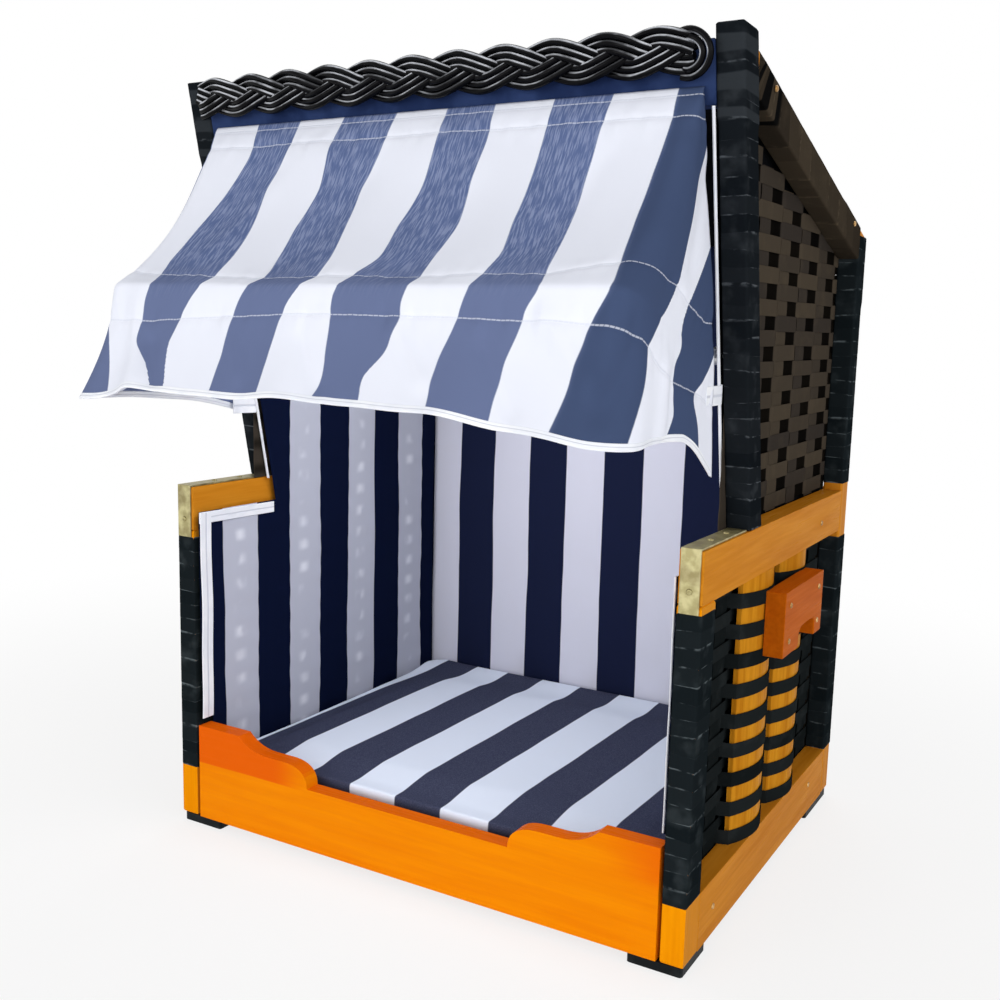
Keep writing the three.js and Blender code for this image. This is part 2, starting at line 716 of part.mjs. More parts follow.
// Carry handles: blocks on the slats with a finger arch underneath
function handles() {
  const top = HANDLE_LOW + HANDLE_HEIGHT;
  const end = HANDLE_START + HANDLE_LENGTH;
  const archStart = HANDLE_START + FINGER_ARCH_SETBACK;
  const archEnd = archStart + FINGER_ARCH_LENGTH;
  const archMiddle = (archStart + archEnd) / 2;
  const archTop = HANDLE_LOW + FINGER_ARCH_DEPTH;
  const outline = new THREE.Shape();
  outline.moveTo(HANDLE_START, HANDLE_LOW);
  outline.lineTo(archStart, HANDLE_LOW);
  outline.bezierCurveTo(archStart, archTop, archStart, archTop, archMiddle, archTop);
  outline.bezierCurveTo(archEnd, archTop, archEnd, archTop, archEnd, HANDLE_LOW);
  outline.lineTo(end, HANDLE_LOW);
  outline.lineTo(end, top);
  outline.lineTo(HANDLE_START, top);
  return pair('carry_handle', (side, name) => across(
    name, HANDLE_STAIN, outline, sideSpan(side, -CLEAR - HANDLE_THICK, -CLEAR),
  ));
}

// Angle plates over the armrests' front ends
function plates() {
  const legEnd = hoodFront(ARM_TOP + CLEAR + PLATE_THICK) - WRAP_OUT - CLEAR;
  const outline = [
    [-PLATE_THICK - CLEAR, PLATE_LOW],
    [-CLEAR, PLATE_LOW],
    [-CLEAR, ARM_TOP + CLEAR],
    [legEnd, ARM_TOP + CLEAR],
    [legEnd, ARM_TOP + CLEAR + PLATE_THICK],
    [-PLATE_THICK - CLEAR, ARM_TOP + CLEAR + PLATE_THICK],
  ];
  const inset = (TIMBER - PLATE_WIDTH) / 2;
  return pair('armrest_plate', (side, name) => across(
    name, ZINC_YELLOW, outline, sideSpan(side, inset, inset + PLATE_WIDTH),
  ));
}

// Braided trim as its envelope: an oval bar lying on the leaning front rail
function braid() {
  const outline = new THREE.Shape();
  outline.absellipse(0, 0, BRAID_THICK / 2, BRAID_HEIGHT / 2, 0, 2 * Math.PI);
  const span = [-BRAID_LENGTH / 2, BRAID_LENGTH / 2];
  const trim = named('hood_braid', crossGeometry(outline, span, 10), BRAID_BLACK);
  const tilt = new THREE.Matrix4().makeRotationX(Math.atan(LEAN));
  trim.setRotationFromMatrix(tilt.multiply(SIDEWAYS));
  const reach = (BRAID_THICK / 2) / Math.cos(Math.atan(LEAN)) + WRAP_OUT + CLEAR;
  trim.position.set(span[0], hoodFront(BRAID_CENTRE) - reach, BRAID_CENTRE);
  return trim;
}

// Awning bow: a wire U with an eye at each end, swinging on two pins
function bow() {
  const armX = HALF - BOW_SIDE_INSET;
  const pivot = new THREE.Vector3(0, PIVOT_SETBACK, PIVOT_HEIGHT);
  const bar = new THREE.Vector3(0, BOW_BAR_SETBACK, BOW_BAR_HEIGHT);
  const along = bar.clone().sub(pivot).normalize();
  const bend = bar.clone().addScaledVector(along, -BOW_CORNER);
  const at = (point, x) => point.clone().setX(x);
  const path = new THREE.CurvePath();
  path.add(new THREE.LineCurve3(at(pivot, -armX), at(bend, -armX)));
  path.add(new THREE.QuadraticBezierCurve3(
    at(bend, -armX), at(bar, -armX), at(bar, BOW_CORNER - armX),
  ));
  path.add(new THREE.LineCurve3(at(bar, BOW_CORNER - armX), at(bar, armX - BOW_CORNER)));
  path.add(new THREE.QuadraticBezierCurve3(
    at(bar, armX - BOW_CORNER), at(bar, armX), at(bend, armX),
  ));
  path.add(new THREE.LineCurve3(at(bend, armX), at(pivot, armX)));
  const section = new THREE.Shape();
  section.absarc(0, 0, BOW_WIRE / 2, 0, 2 * Math.PI);
  const wire = new THREE.ExtrudeGeometry(section, {
    extrudePath: path,
    steps: 72,
    curveSegments: 5,
  });
  let solid = toSolid(wire);
  [-1, 1].forEach((side) => {
    const middle = side * armX;
    const eye = [middle - BOW_EYE_THICK / 2, middle + BOW_EYE_THICK / 2];
    const bore = [middle - BOW_WIRE, middle + BOW_WIRE];
    solid = solid.add(crossPin(BOW_EYE / 2, eye, PIVOT_SETBACK, PIVOT_HEIGHT));
    solid = solid.subtract(crossPin(PIVOT_PIN / 2 + CLEAR, bore, PIVOT_SETBACK, PIVOT_HEIGHT));
  });
  return named('awning_bow', toGeometry(solid), STEEL);
}

function pivots() {
  const headInner = BOW_SIDE_INSET + BOW_WIRE / 2 + CLEAR;
  return pair('awning_pivot', (side, name) => {
    const shaft = crossPin(
      PIVOT_PIN / 2, sideSpan(side, TIMBER - PIVOT_DEPTH, headInner + PIVOT_HEAD_THICK / 2),
      PIVOT_SETBACK, PIVOT_HEIGHT,
    );
    const head = crossPin(
      PIVOT_HEAD / 2, sideSpan(side, headInner, headInner + PIVOT_HEAD_THICK),
      PIVOT_SETBACK, PIVOT_HEIGHT,
    );
    return named(name, toGeometry(shaft.add(head)), STEEL);
  });
}

// Awning cloth. down runs from the top edge (0) over the bow to the hem (1);
// round runs from the left rear edge over the front to the right rear edge.
function clothLevel(down) {
  const topSetback = hoodFront(CLOTH_TOP) - CLEAR - CLOTH_THICK;
  const bowSetback = BOW_BAR_SETBACK - CLOTH_ROLL_OUT;
  const bowHeight = BOW_BAR_HEIGHT + CLOTH_ROLL_UP;
  const lerp = THREE.MathUtils.lerp;
  const overBow = CLOTH_BOW_ROW / CLOTH_ROWS;
  const upper = Math.min(down / overBow, 1);
  const lower = Math.max((down - overBow) / (1 - overBow), 0);
  const sag = CLOTH_SAG * Math.sin(Math.PI * upper ** CLOTH_SAG_SKEW);
  const setback = lower > 0
    ? lerp(bowSetback, CLOTH_HEM_SETBACK, lower)
    : lerp(topSetback, bowSetback, upper) + sag;
  const height = lower > 0
    ? lerp(bowHeight, CLOTH_HEM_HEIGHT, lower)
    : lerp(CLOTH_TOP, bowHeight, upper);
  const inset = lower > 0
    ? lerp(CLOTH_BOW_INSET, CLOTH_HEM_INSET, lower)
    : lerp(CLOTH_TOP_INSET, CLOTH_BOW_INSET, upper);
  const droop = lerp(CLOTH_BOW_DROOP * upper, CLOTH_HEM_DROOP, lower);
  const postGap = lerp(CLOTH_POST_GAP, CLOTH_HEM_POST_GAP, lower);
  const rear = hoodFront(height - droop) - postGap;
  return { setback, height, half: HALF - inset, droop, rear, lower };
}

function clothPoint(round, down) {
  const level = clothLevel(down);
  const { half, rear, setback, lower } = level;
  const radius = Math.min(CLOTH_CORNER, half, Math.max(rear - setback, 0) / 2);
  const wing = Math.max(rear - setback - radius, 0);
  const flat = half - radius;
  const side = round < 0.5 ? -1 : 1;
  const column = Math.abs(round - 0.5) * CLOTH_COLUMNS;
  const flatColumns = CLOTH_COLUMNS / 2 - CLOTH_WING_COLUMNS - CLOTH_CORNER_COLUMNS;
  const toCorner = Math.min(column / flatColumns, 1);
  const turn = THREE.MathUtils.clamp((column - flatColumns) / CLOTH_CORNER_COLUMNS, 0, 1);
  const alongWing = Math.max((column - flatColumns) / CLOTH_CORNER_COLUMNS - 1, 0);
  const x = flat * toCorner + radius * Math.sin(turn * Math.PI / 2);
  const y = setback + radius * (1 - Math.cos(turn * Math.PI / 2))
    + wing * alongWing * CLOTH_CORNER_COLUMNS / CLOTH_WING_COLUMNS;
  const back = wing + radius > 0 ? (y - setback) / (wing + radius) : 0;
  const wave = CLOTH_WAVE * lower * lower * Math.cos(2 * Math.PI * CLOTH_WAVES * (round - 0.5));
  const front = 1 - back;
  return new THREE.Vector3(side * (x + wave * back / 2), y + wave * front, level.height - level.droop * back);
}

function clothSkin() {
  const step = 1e-3;
  const inner = (round, down) => {
    const at = clothPoint(round, down);
    const a = clothPoint(Math.min(round + step, 1), down);
    const b = clothPoint(Math.max(round - step, 0), down);
    const c = clothPoint(round, Math.min(down + step, 1));
    const d = clothPoint(round, Math.max(down - step, 0));
    const normal = a.sub(b).cross(c.sub(d)).normalize();
    return at.addScaledVector(normal, CLOTH_THICK);
  };
  return skin(
    CLOTH_COLUMNS,
    CLOTH_ROWS,
    (u, v) => inner(u, v).toArray(),
    (u, v) => clothPoint(u, v).toArray(),
  );
}

// Gap between the valance's rear edge and the hood posts at a height
function wingGap(height) {
  const bowEnd = BOW_BAR_HEIGHT + CLOTH_ROLL_UP - CLOTH_BOW_DROOP;
  const hemEnd = CLOTH_HEM_HEIGHT - CLOTH_HEM_DROOP;
  const share = THREE.MathUtils.inverseLerp(bowEnd, hemEnd, height);
  return THREE.MathUtils.lerp(CLOTH_POST_GAP, CLOTH_HEM_POST_GAP, share);
}

function awning() {
  const straps = pair('awning_strap', (side, name) => {
    const level = STRAP_HEIGHTS[side > 0 ? 1 : 0];
    const hem = clothLevel(1);
    const low = level - STRAP_WIDTH / 2;
    const high = level + STRAP_WIDTH / 2;
    const start = (height) => hoodFront(height) - wingGap(height) + CLEAR;
    const end = (height) => hoodFront(height) - WRAP_OUT - CLEAR;
    const outline = [
      [start(low), low],
      [end(low), low],
      [end(high), high],
      [start(high), high],
    ];
    const inset = HALF - hem.half;
    return across(name, CLOTH_WHITE, outline, sideSpan(side, inset, inset + CLOTH_THICK));
  });
  return [named('awning_cloth', clothSkin(), CLOTH_STRIPE), ...straps];
}

const chair = new THREE.Group();
chair.add(
  ...sideFrames(),
  ...crossRails(),
  ...hoodFrame(),
  ...wraps(),
  frontBoard(),
  ...feet(),
  ...seatBase(),
  cushion(),
  ...weaves(),
  ...linings(),
  ...slats(),
  ...handles(),
  ...plates(),
  braid(),
  bow(),
  ...pivots(),
  ...awning(),
);

// Stand the chair on its feet, centred in plan
const extent = new THREE.Box3().setFromObject(chair);
const middle = extent.getCenter(new THREE.Vector3());
chair.position.set(-middle.x, -middle.y, -extent.min.z);

const dogBeachChair = new THREE.Group();
dogBeachChair.add(chair);

export default dogBeachChair;
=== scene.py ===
"""Looks of a small hooded wicker beach chair for a dog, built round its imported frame.

Lengths are millimetres in the chair's own axes: X across, Y back from the front face of
the front posts, Z up from the underside of the timber. Meshes are made from them in metres.
"""

import logging
import math
from dataclasses import dataclass, field
from enum import Enum
from functools import partialmethod
from typing import Iterable, Sequence, Union

import bpy
import numpy as np
from mathutils import Matrix, Vector


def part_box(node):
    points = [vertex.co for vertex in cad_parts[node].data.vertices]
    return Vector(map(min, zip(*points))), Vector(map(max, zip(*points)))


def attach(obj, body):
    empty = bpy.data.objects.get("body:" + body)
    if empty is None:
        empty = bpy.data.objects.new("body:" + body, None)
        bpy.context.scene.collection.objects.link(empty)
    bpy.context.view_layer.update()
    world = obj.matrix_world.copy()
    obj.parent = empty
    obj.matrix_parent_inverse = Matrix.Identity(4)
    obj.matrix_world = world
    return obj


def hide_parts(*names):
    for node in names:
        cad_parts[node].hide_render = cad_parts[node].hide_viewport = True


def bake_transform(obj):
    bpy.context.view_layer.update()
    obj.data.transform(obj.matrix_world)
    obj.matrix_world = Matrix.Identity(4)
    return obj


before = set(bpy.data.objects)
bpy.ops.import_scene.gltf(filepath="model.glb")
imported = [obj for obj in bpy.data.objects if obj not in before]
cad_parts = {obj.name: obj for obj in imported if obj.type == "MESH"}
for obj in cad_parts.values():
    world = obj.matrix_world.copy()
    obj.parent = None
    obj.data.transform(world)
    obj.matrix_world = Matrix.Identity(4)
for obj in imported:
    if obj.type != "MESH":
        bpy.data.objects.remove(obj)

Array = np.ndarray
Number = Union[float, "Value"]
Pair = tuple[float, float]
Triple = tuple[float, float, float]
Colour = Triple

LOG = logging.getLogger("dog_beach_chair")
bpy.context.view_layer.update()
MM = 0.001
POST_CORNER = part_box("front_post_left")[0]
ORIGIN = np.array([0.0, POST_CORNER.y, POST_CORNER.z])
SIDES = {"left": -1, "right": 1}
X, Y, Z = np.eye(3)
ROUND = 2 * math.pi


def rgb(*channels: int) -> Colour:
    """Linear colour of a screen colour given from 0 to 255."""
    shares = [channel / 255 for channel in channels]
    return tuple(s / 12.92 if s <= 0.04045 else ((s + 0.055) / 1.055) ** 2.4 for s in shares)


def in_frame(points: Array) -> Array:
    """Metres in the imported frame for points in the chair's millimetres."""
    return np.asarray(points, float) * MM + ORIGIN


def at(x: Array, y: Array, z: Array) -> Array:
    """Points from their three coordinates, any of which may be one number for all."""
    return np.stack(np.broadcast_arrays(x, y, z), -1)


def unit(vectors: Array) -> Array:
    """Vectors brought to a length of 1."""
    return vectors / np.linalg.norm(vectors, axis=-1, keepdims=True)


def smooth(low: float, high: float, value: Array) -> Array:
    """Smooth step of a value from 0 at low to 1 at high."""
    share = np.clip((np.asarray(value, float) - low) / (high - low), 0, 1)
    return share * share * (3 - 2 * share)


def window(value: Array, start: float, end: float, ramp: float) -> Array:
    """1 between start and end, falling smoothly to 0 over ramp outside them."""
    return smooth(start - ramp, start, value) * (1 - smooth(end, end + ramp, value))


def ripples(first: Array, second: Array, lengths: Sequence[float], seed: int) -> Array:
    """Sum of plane sine waves with fixed random headings and phases, from about -1 to 1.

    Args:
        first: One coordinate of each point.
        second: The other coordinate.
        lengths: Wavelength of each wave.
        seed: Seed of the headings and phases.

    Returns:
        The height at each point.
    """
    draw = np.random.default_rng(seed)
    total = 0
    for length in lengths:
        heading, phase = draw.uniform(0, ROUND, 2)
        run = first * math.cos(heading) + second * math.sin(heading)
        total = total + np.sin(ROUND * run / length + phase)
    return total / math.sqrt(len(lengths))


@dataclass(frozen=True)
class Chair:
    """The sizes that the pieces share, as in the solids."""

    half: float = 300
    depth: float = 484
    timber: float = 22
    post_depth: float = 34
    rear_post: float = 29
    rear_rail: float = 14
    arm_top: float = 372
    arm_height: float = 47
    base_rail: float = 56
    hood_post: float = 34
    hood_foot: float = 116
    hood_head: float = 25
    hood_top: float = 795
    rear_top: float = 662
    roof_rail: float = 33
    fall_degrees: float = 15.9
    wrap: float = 1.5
    clear: float = 0.3
    weave_inset: float = 19.5
    weave_thick: float = 7
    lining_inset: float = 26.8
    lining_thick: float = 1.6
    seat_top: float = 37
    board_thick: float = 18
    board_height: float = 106

    @property
    def fall(self) -> float:
        """Fall of the roof for each unit of depth."""
        return math.tan(math.radians(self.fall_degrees))

    @property
    def lean(self) -> float:
        """Setback of the hood posts for each unit of height."""
        return (self.hood_foot - self.hood_head) / (self.hood_top - self.arm_top)

    @property
    def arm_low(self) -> float:
        """Underside of the armrests."""
        return self.arm_top - self.arm_height

    @property
    def rear_face(self) -> float:
        """Front face of the rear posts."""
        return self.depth - self.rear_post

    @property
    def cabin(self) -> float:
        """Half the width between the side linings' inner faces."""
        return self.half - self.lining_inset - self.lining_thick

    @property
    def back_wall(self) -> float:
        """Front face of the back lining."""
        return self.depth - self.rear_rail - 2 * self.clear - self.weave_thick - self.lining_thick

    def hood_front(self, height: Array) -> Array:
        """Front face of the leaning hood posts at a height."""
        return self.hood_head + (self.hood_top - height) * self.lean

    def roof(self, setback: Array, drop: float = 0) -> Array:
        """Height of the roof's top line at a setback, less a drop."""
        return self.rear_top + (self.depth - setback) * self.fall - drop


CHAIR = Chair()


# Meshes

@dataclass
class Patch:
    """Points in millimetres, four-cornered faces, and the UV of each face corner."""

    points: Array
    quads: Array
    uv: Array

    def flipped(self) -> "Patch":
        """The patch with its faces turned round."""
        corners = self.uv.reshape(-1, 4, 2)[:, ::-1].reshape(-1, 2)
        return Patch(self.points, self.quads[:, ::-1], corners)

    def outward(self) -> "Patch":
        """The closed patch with its faces pointing out.

        Returns:
            This patch, or the patch flipped.
        """
        a, b, c, d = (self.points[self.quads[:, corner]] for corner in range(4))
        volume = np.sum(a * np.cross(b, c)) + np.sum(a * np.cross(c, d))
        return self.flipped() if volume < 0 else self

    def mirrored(self, side: int) -> "Patch":
        """The patch on one side of the chair: as it is at 1, across X at -1."""
        return self if side > 0 else Patch(self.points * [-1, 1, 1], self.quads, self.uv).flipped()


def grid(points: Array, uv: Array, wrap_rows: bool = False, wrap_columns: bool = False) -> Patch:
    """A surface over a grid of points.

    Args:
        points: Rows by columns by 3.
        uv: Rows by columns by 2, with one more row or column where the grid wraps.
        wrap_rows: Whether the last row joins the first.
        wrap_columns: Whether the last column joins the first.

    Returns:
        The patch, not yet turned outward.
    """
    rows, columns = points.shape[:2]
    r, c = np.indices((rows - 1 + wrap_rows, columns - 1 + wrap_columns))
    down, along = (r + 1) % rows * columns, (c + 1) % columns
    quads = np.stack([r * columns + c, r * columns + along, down + along, down + c], -1)
    corners = np.stack([uv[r, c], uv[r, c + 1], uv[r + 1, c + 1], uv[r + 1, c]], -2)
    return Patch(points.reshape(-1, 3), quads.reshape(-1, 4), corners.reshape(-1, 2))


def closed(points: Array, uv: Array, cap_uv: Pair = (0, 0)) -> Patch:
    """A closed body of rings, each with the same even number of points.

    Args:
        points: Rings by points by 3.
        uv: Rings by points by 2, with one more point where each ring closes.
        cap_uv: The one coordinate of both end faces.

    Returns:
        The body, facing out.
    """
    rings, sides = points.shape[:2]
    body = grid(points, uv, wrap_columns=True)
    half = np.arange(sides // 2 - 1)
    cap = np.stack([half, half + 1, sides - 2 - half, sides - 1 - half], -1)
    quads = np.vstack([body.quads, cap[:, ::-1], cap + (rings - 1) * sides])
    ends = np.full((2 * cap.size, 2), cap_uv, float)
    return Patch(body.points, quads, np.vstack([body.uv, ends])).outward()


def swept(path: Array, first: Array, second: Array, section: Array, band: float = 0) -> Patch:
    """A closed bar: a section carried along a path.

    Args:
        path: Points along the middle.
        first: Direction of the section's first coordinate, one for all or one a point.
        second: Direction of its second coordinate.
        section: Corners of the section, an even number of them.
        band: Number of the strip, kept in V so that a finish can tell strips apart.

    Returns:
        The bar with both ends closed. U is the length along it in metres.
    """
    first, second = (np.broadcast_to(one, path.shape)[:, None] for one in (first, second))
    points = path[:, None] + section[None, :, :1] * first + section[None, :, 1:] * second
    steps = np.linalg.norm(np.diff(path, axis=0), axis=1)
    length = np.concatenate([[0], np.cumsum(steps)]) * MM
    across = band + np.arange(len(section) + 1) / len(section)
    return closed(points, np.stack(np.meshgrid(length, across, indexing="ij"), -1), (0, band + 0.5))


def flat_section(width: float, thick: float) -> Array:
    """Corners of a flat strip's section with eased edges.

    Args:
        width: The strip's width.
        thick: Its thickness.

    Returns:
        Eight corners.
    """
    w, t, ease = width / 2, thick / 2, thick / 3
    return np.array([
        [-w, -t + ease], [-w + ease, -t], [w - ease, -t], [w, -t + ease],
        [w, t - ease], [w - ease, t], [-w + ease, t], [-w, t - ease],
    ])


def round_section(radius: float, sides: int = 8) -> Array:
    """Corners of a round section."""
    turn = np.arange(sides) * ROUND / sides
    return radius * np.stack([np.cos(turn), np.sin(turn)], -1)


def rounded_rectangle(half_a: float, half_b: float, corner: float, per_corner: int = 4,
                      per_side: int = 4) -> tuple[Array, Array]:
    """Points and outward directions round a rectangle with rounded corners.

    Args:
        half_a: Half its first size.
        half_b: Half its second size.
        corner: Radius of the corners.
        per_corner: Steps round each corner.
        per_side: Steps along each straight side.

    Returns:
        Points and unit directions, each one row a point.
    """
    turn = np.linspace(0, math.pi / 2, per_corner + 1)
    corners, facings = [], []
    for quarter in range(4):
        angle = turn + quarter * math.pi / 2
        out = np.stack([np.cos(angle), np.sin(angle)], -1)
        sign = np.sign(out[per_corner // 2])
        corners.append(sign * [half_a - corner, half_b - corner] + corner * out)
        facings.append(out)
    ring, facing = [], []
    share = np.linspace(0, 1, per_side + 1)[1:-1, None]
    for points, out, following in zip(corners, facings, corners[1:] + corners[:1]):
        ring += [points, points[-1] + (following[0] - points[-1]) * share]
        facing += [out, np.repeat(out[-1:], per_side - 1, 0)]
    return np.vstack(ring), np.vstack(facing)


def build(name: str, patches: Iterable[Patch], finish: "Finish", replaces: str = "",
          ride: bool = True, sharp_degrees: float = 40) -> bpy.types.Object:
    """Makes one piece from patches.

    Args:
        name: Name of the piece.
        patches: Its patches, in millimetres.
        finish: What it is covered in.
        replaces: Solid that it stands for, if any.
        ride: Whether it rides on the frame; False where it rides elsewhere or stays loose.
        sharp_degrees: Angle between faces past which an edge stays sharp.

    Returns:
        The object.
    """
    patches = list(patches)
    starts = np.cumsum([0] + [len(patch.points) for patch in patches[:-1]])
    quads = np.vstack([patch.quads + start for patch, start in zip(patches, starts)])
    points = in_frame(np.vstack([patch.points for patch in patches]))
    mesh = bpy.data.meshes.new(name)
    mesh.from_pydata(points.tolist(), [], quads.tolist())
    layer = mesh.uv_layers.new(name="UVMap")
    layer.data.foreach_set("uv", np.vstack([patch.uv for patch in patches]).ravel())
    mesh.shade_smooth()
    mesh.set_sharp_from_angle(angle=math.radians(sharp_degrees))
    mesh.materials.append(finish.material())
    piece = bpy.data.objects.new(name, mesh)
    bpy.context.scene.collection.objects.link(piece)
    if replaces:
        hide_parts(replaces)
    if ride:
        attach(piece, "frame")
    LOG.info("%s: %d faces", name, len(quads))
    return piece


def thicken(piece: bpy.types.Object, thickness: float,
            backing: Union["Finish", None] = None) -> None:
    """Gives a sheet its thickness behind its faces.

    Args:
        piece: The sheet.
        thickness: Its thickness in millimetres.
        backing: Finish of its hidden side, where it differs.
    """
    shell = piece.modifiers.new("thickness", "SOLIDIFY")
    shell.thickness, shell.offset = thickness * MM, -1
    if backing:
        piece.data.materials.append(backing.material())
        shell.material_offset = 1


def sheet_area(piece: bpy.types.Object) -> float:
    """Area in square metres of a piece's own faces, before it gets its thickness.

    Args:
        piece: The sheet.

    Returns:
        The area, rounded to a ten-thousandth.
    """
    areas = np.zeros(len(piece.data.polygons), np.float32)
    piece.data.polygons.foreach_get("area", areas)
    return round(float(areas.sum()), 4)


# Shader maths and finishes

class Value:
    """A shader value on which ordinary operators add Math nodes."""

    def __init__(self, paint: "Paint", socket: bpy.types.NodeSocket) -> None:
        """Wraps a socket of a paint's node tree."""
        self.paint, self.socket = paint, socket

    def math(self, operation: str, *others: Number, before: bool = False) -> "Value":
        """Joins this value and others with a Math node.

        Args:
            operation: The node's operation.
            others: The other values.
            before: Whether the others come first.

        Returns:
            The node's result.
        """
        values = [*others, self] if before else [self, *others]
        node = self.paint.node("Math", dict(enumerate(values)), operation=operation)
        return Value(self.paint, node.outputs[0])

    __add__ = __radd__ = partialmethod(math, "ADD")
    __sub__ = partialmethod(math, "SUBTRACT")
    __rsub__ = partialmethod(math, "SUBTRACT", before=True)
    __mul__ = __rmul__ = partialmethod(math, "MULTIPLY")
    __truediv__ = partialmethod(math, "DIVIDE")
    __mod__ = partialmethod(math, "FLOORED_MODULO")
    __abs__ = partialmethod(math, "ABSOLUTE")

    def step(self, low: float, high: float) -> "Value":
        """Smooth step from 0 at low to 1 at high; low may be the larger.

        Args:
            low: Value where the step is 0.
            high: Value where it is 1.

        Returns:
            The step.
        """
        ends = {"Value": self, "From Min": min(low, high), "From Max": max(low, high)}
        node = self.paint.node("MapRange", ends, interpolation_type="SMOOTHSTEP")
        risen = Value(self.paint, node.outputs["Result"])
        return 1 - risen if low > high else risen


class Paint:
    """The nodes of a material, round its Principled shader, or of the world."""

    def __init__(self, owner: bpy.types.Material | bpy.types.World) -> None:
        """Turns on the owner's nodes.

        Args:
            owner: The material or world.
        """
        owner.use_nodes = True
        self.tree = owner.node_tree
        self.shader = self.tree.nodes.get("Principled BSDF")

    def feed(self, socket: bpy.types.NodeSocket, value: object) -> None:
        """Links a value to a socket, or sets the socket to a number or colour.

        Args:
            socket: The socket fed.
            value: A value, an output, a number or a colour.
        """
        if isinstance(value, Value):
            value = value.socket
        if isinstance(value, bpy.types.NodeSocket):
            self.tree.links.new(value, socket)
        else:
            socket.default_value = (*value, 1) if socket.type == "RGBA" else value

    def node(self, kind: str, values: dict | None = None, **settings: str) -> bpy.types.Node:
        """Adds a node.

        Args:
            kind: The node's type, without ShaderNode.
            values: Values or links of its sockets, by name or place.
            settings: Its settings, set first.

        Returns:
            The node.
        """
        node = self.tree.nodes.new(f"ShaderNode{kind}")
        for key, setting in settings.items():
            setattr(node, key, setting)
        for key, value in (values or {}).items():
            self.feed(node.inputs[key], value)
        return node

    def dress(self, **values: object) -> None:
        """Sets the shader's sockets, named with underscores for spaces."""
        for key, value in values.items():
            self.feed(self.shader.inputs[key.replace("_", " ")], value)

    def parts(self, vector: bpy.types.NodeSocket) -> list[Value]:
        """The three parts of a vector."""
        return [Value(self, part) for part in self.node("SeparateXYZ", {0: vector}).outputs]

    def split(self, coordinates: str) -> list[Value]:
        """The three parts of the Object or UV coordinates."""
        return self.parts(self.node("TexCoord").outputs[coordinates])

    def facing(self) -> list[Value]:
        """The three parts of the outward normal."""
        return self.parts(self.node("NewGeometry").outputs["Normal"])

    def noise(self, cycles: float | Sequence[float], detail: float = 3,
              coordinates: str = "Object") -> Value:
        """Noise from about 0.3 to 0.7.

        Args:
            cycles: Cycles a metre, one number for all axes or one for each.
            detail: Finer layers of noise.
            coordinates: Object or UV.

        Returns:
            The noise.
        """
        scale = np.broadcast_to(np.array(cycles, float), 3).tolist()
        source = self.node("TexCoord").outputs[coordinates]
        placed = self.node("Mapping", {"Vector": source, "Scale": scale}).outputs[0]
        made = self.node("TexNoise", {"Vector": placed, "Scale": 1.0, "Detail": detail})
        return Value(self, made.outputs[0])

    def chance(self, value: Value) -> Value:
        """A fixed random number from 0 to 1 for each whole number of a value."""
        made = self.node("TexWhiteNoise", {"W": value.math("FLOOR")}, noise_dimensions="1D")
        return Value(self, made.outputs[0])

    def mix(self, share: Number, first: object, second: object) -> bpy.types.NodeSocket:
        """Colour between two colours, the second at a share of 1."""
        return self.node("Mix", {0: share, 6: first, 7: second}, data_type="RGBA").outputs[2]

    def bump(self, height: Value, distance: float) -> None:
        """Gives the shader half the relief of a height, whose 1 is a distance in millimetres."""
        made = self.node("Bump", {"Height": height, "Distance": distance * MM, "Strength": 0.5})
        self.dress(Normal=made.outputs[0])

    def rays_seen(self) -> Value:
        """1 for rays from the camera, from mirrors and through glass, and 0 for the light's.

        Returns:
            The value.
        """
        path = self.node("LightPath").outputs
        camera, mirror, glass = (
            Value(self, path[f"Is {kind} Ray"]) for kind in ("Camera", "Glossy", "Transmission")
        )
        return camera.math("MAXIMUM", mirror).math("MAXIMUM", glass)

    def surface(self, share: Value, first: bpy.types.Node, second: bpy.types.Node) -> None:
        """Makes the output a mix of two shaders, the second at a share of 1.

        Args:
            share: Share of the second.
            first: A shader's node.
            second: Another's.
        """
        mixed = self.node("MixShader", {0: share, 1: first.outputs[0], 2: second.outputs[0]})
        output = next(node for node in self.tree.nodes if "Output" in node.bl_idname)
        self.feed(output.inputs["Surface"], mixed.outputs[0])


class Finish:
    """A finish that makes its material once."""

    name: str

    def material(self) -> bpy.types.Material:
        """The finish's material, made at its first use.

        Returns:
            The material.
        """
        name = f"{self.name}_finish"
        known = bpy.data.materials.get(name)
        if known is None:
            known = bpy.data.materials.new(name)
            self.apply(Paint(known))
        return known

    def apply(self, paint: Paint) -> None:
        """Fills the paint's shader."""
        raise NotImplementedError


class Axis(Enum):
    """Direction of a grain or of stripes, by its place in a coordinate."""

    X = 0
    Y = 1
    Z = 2


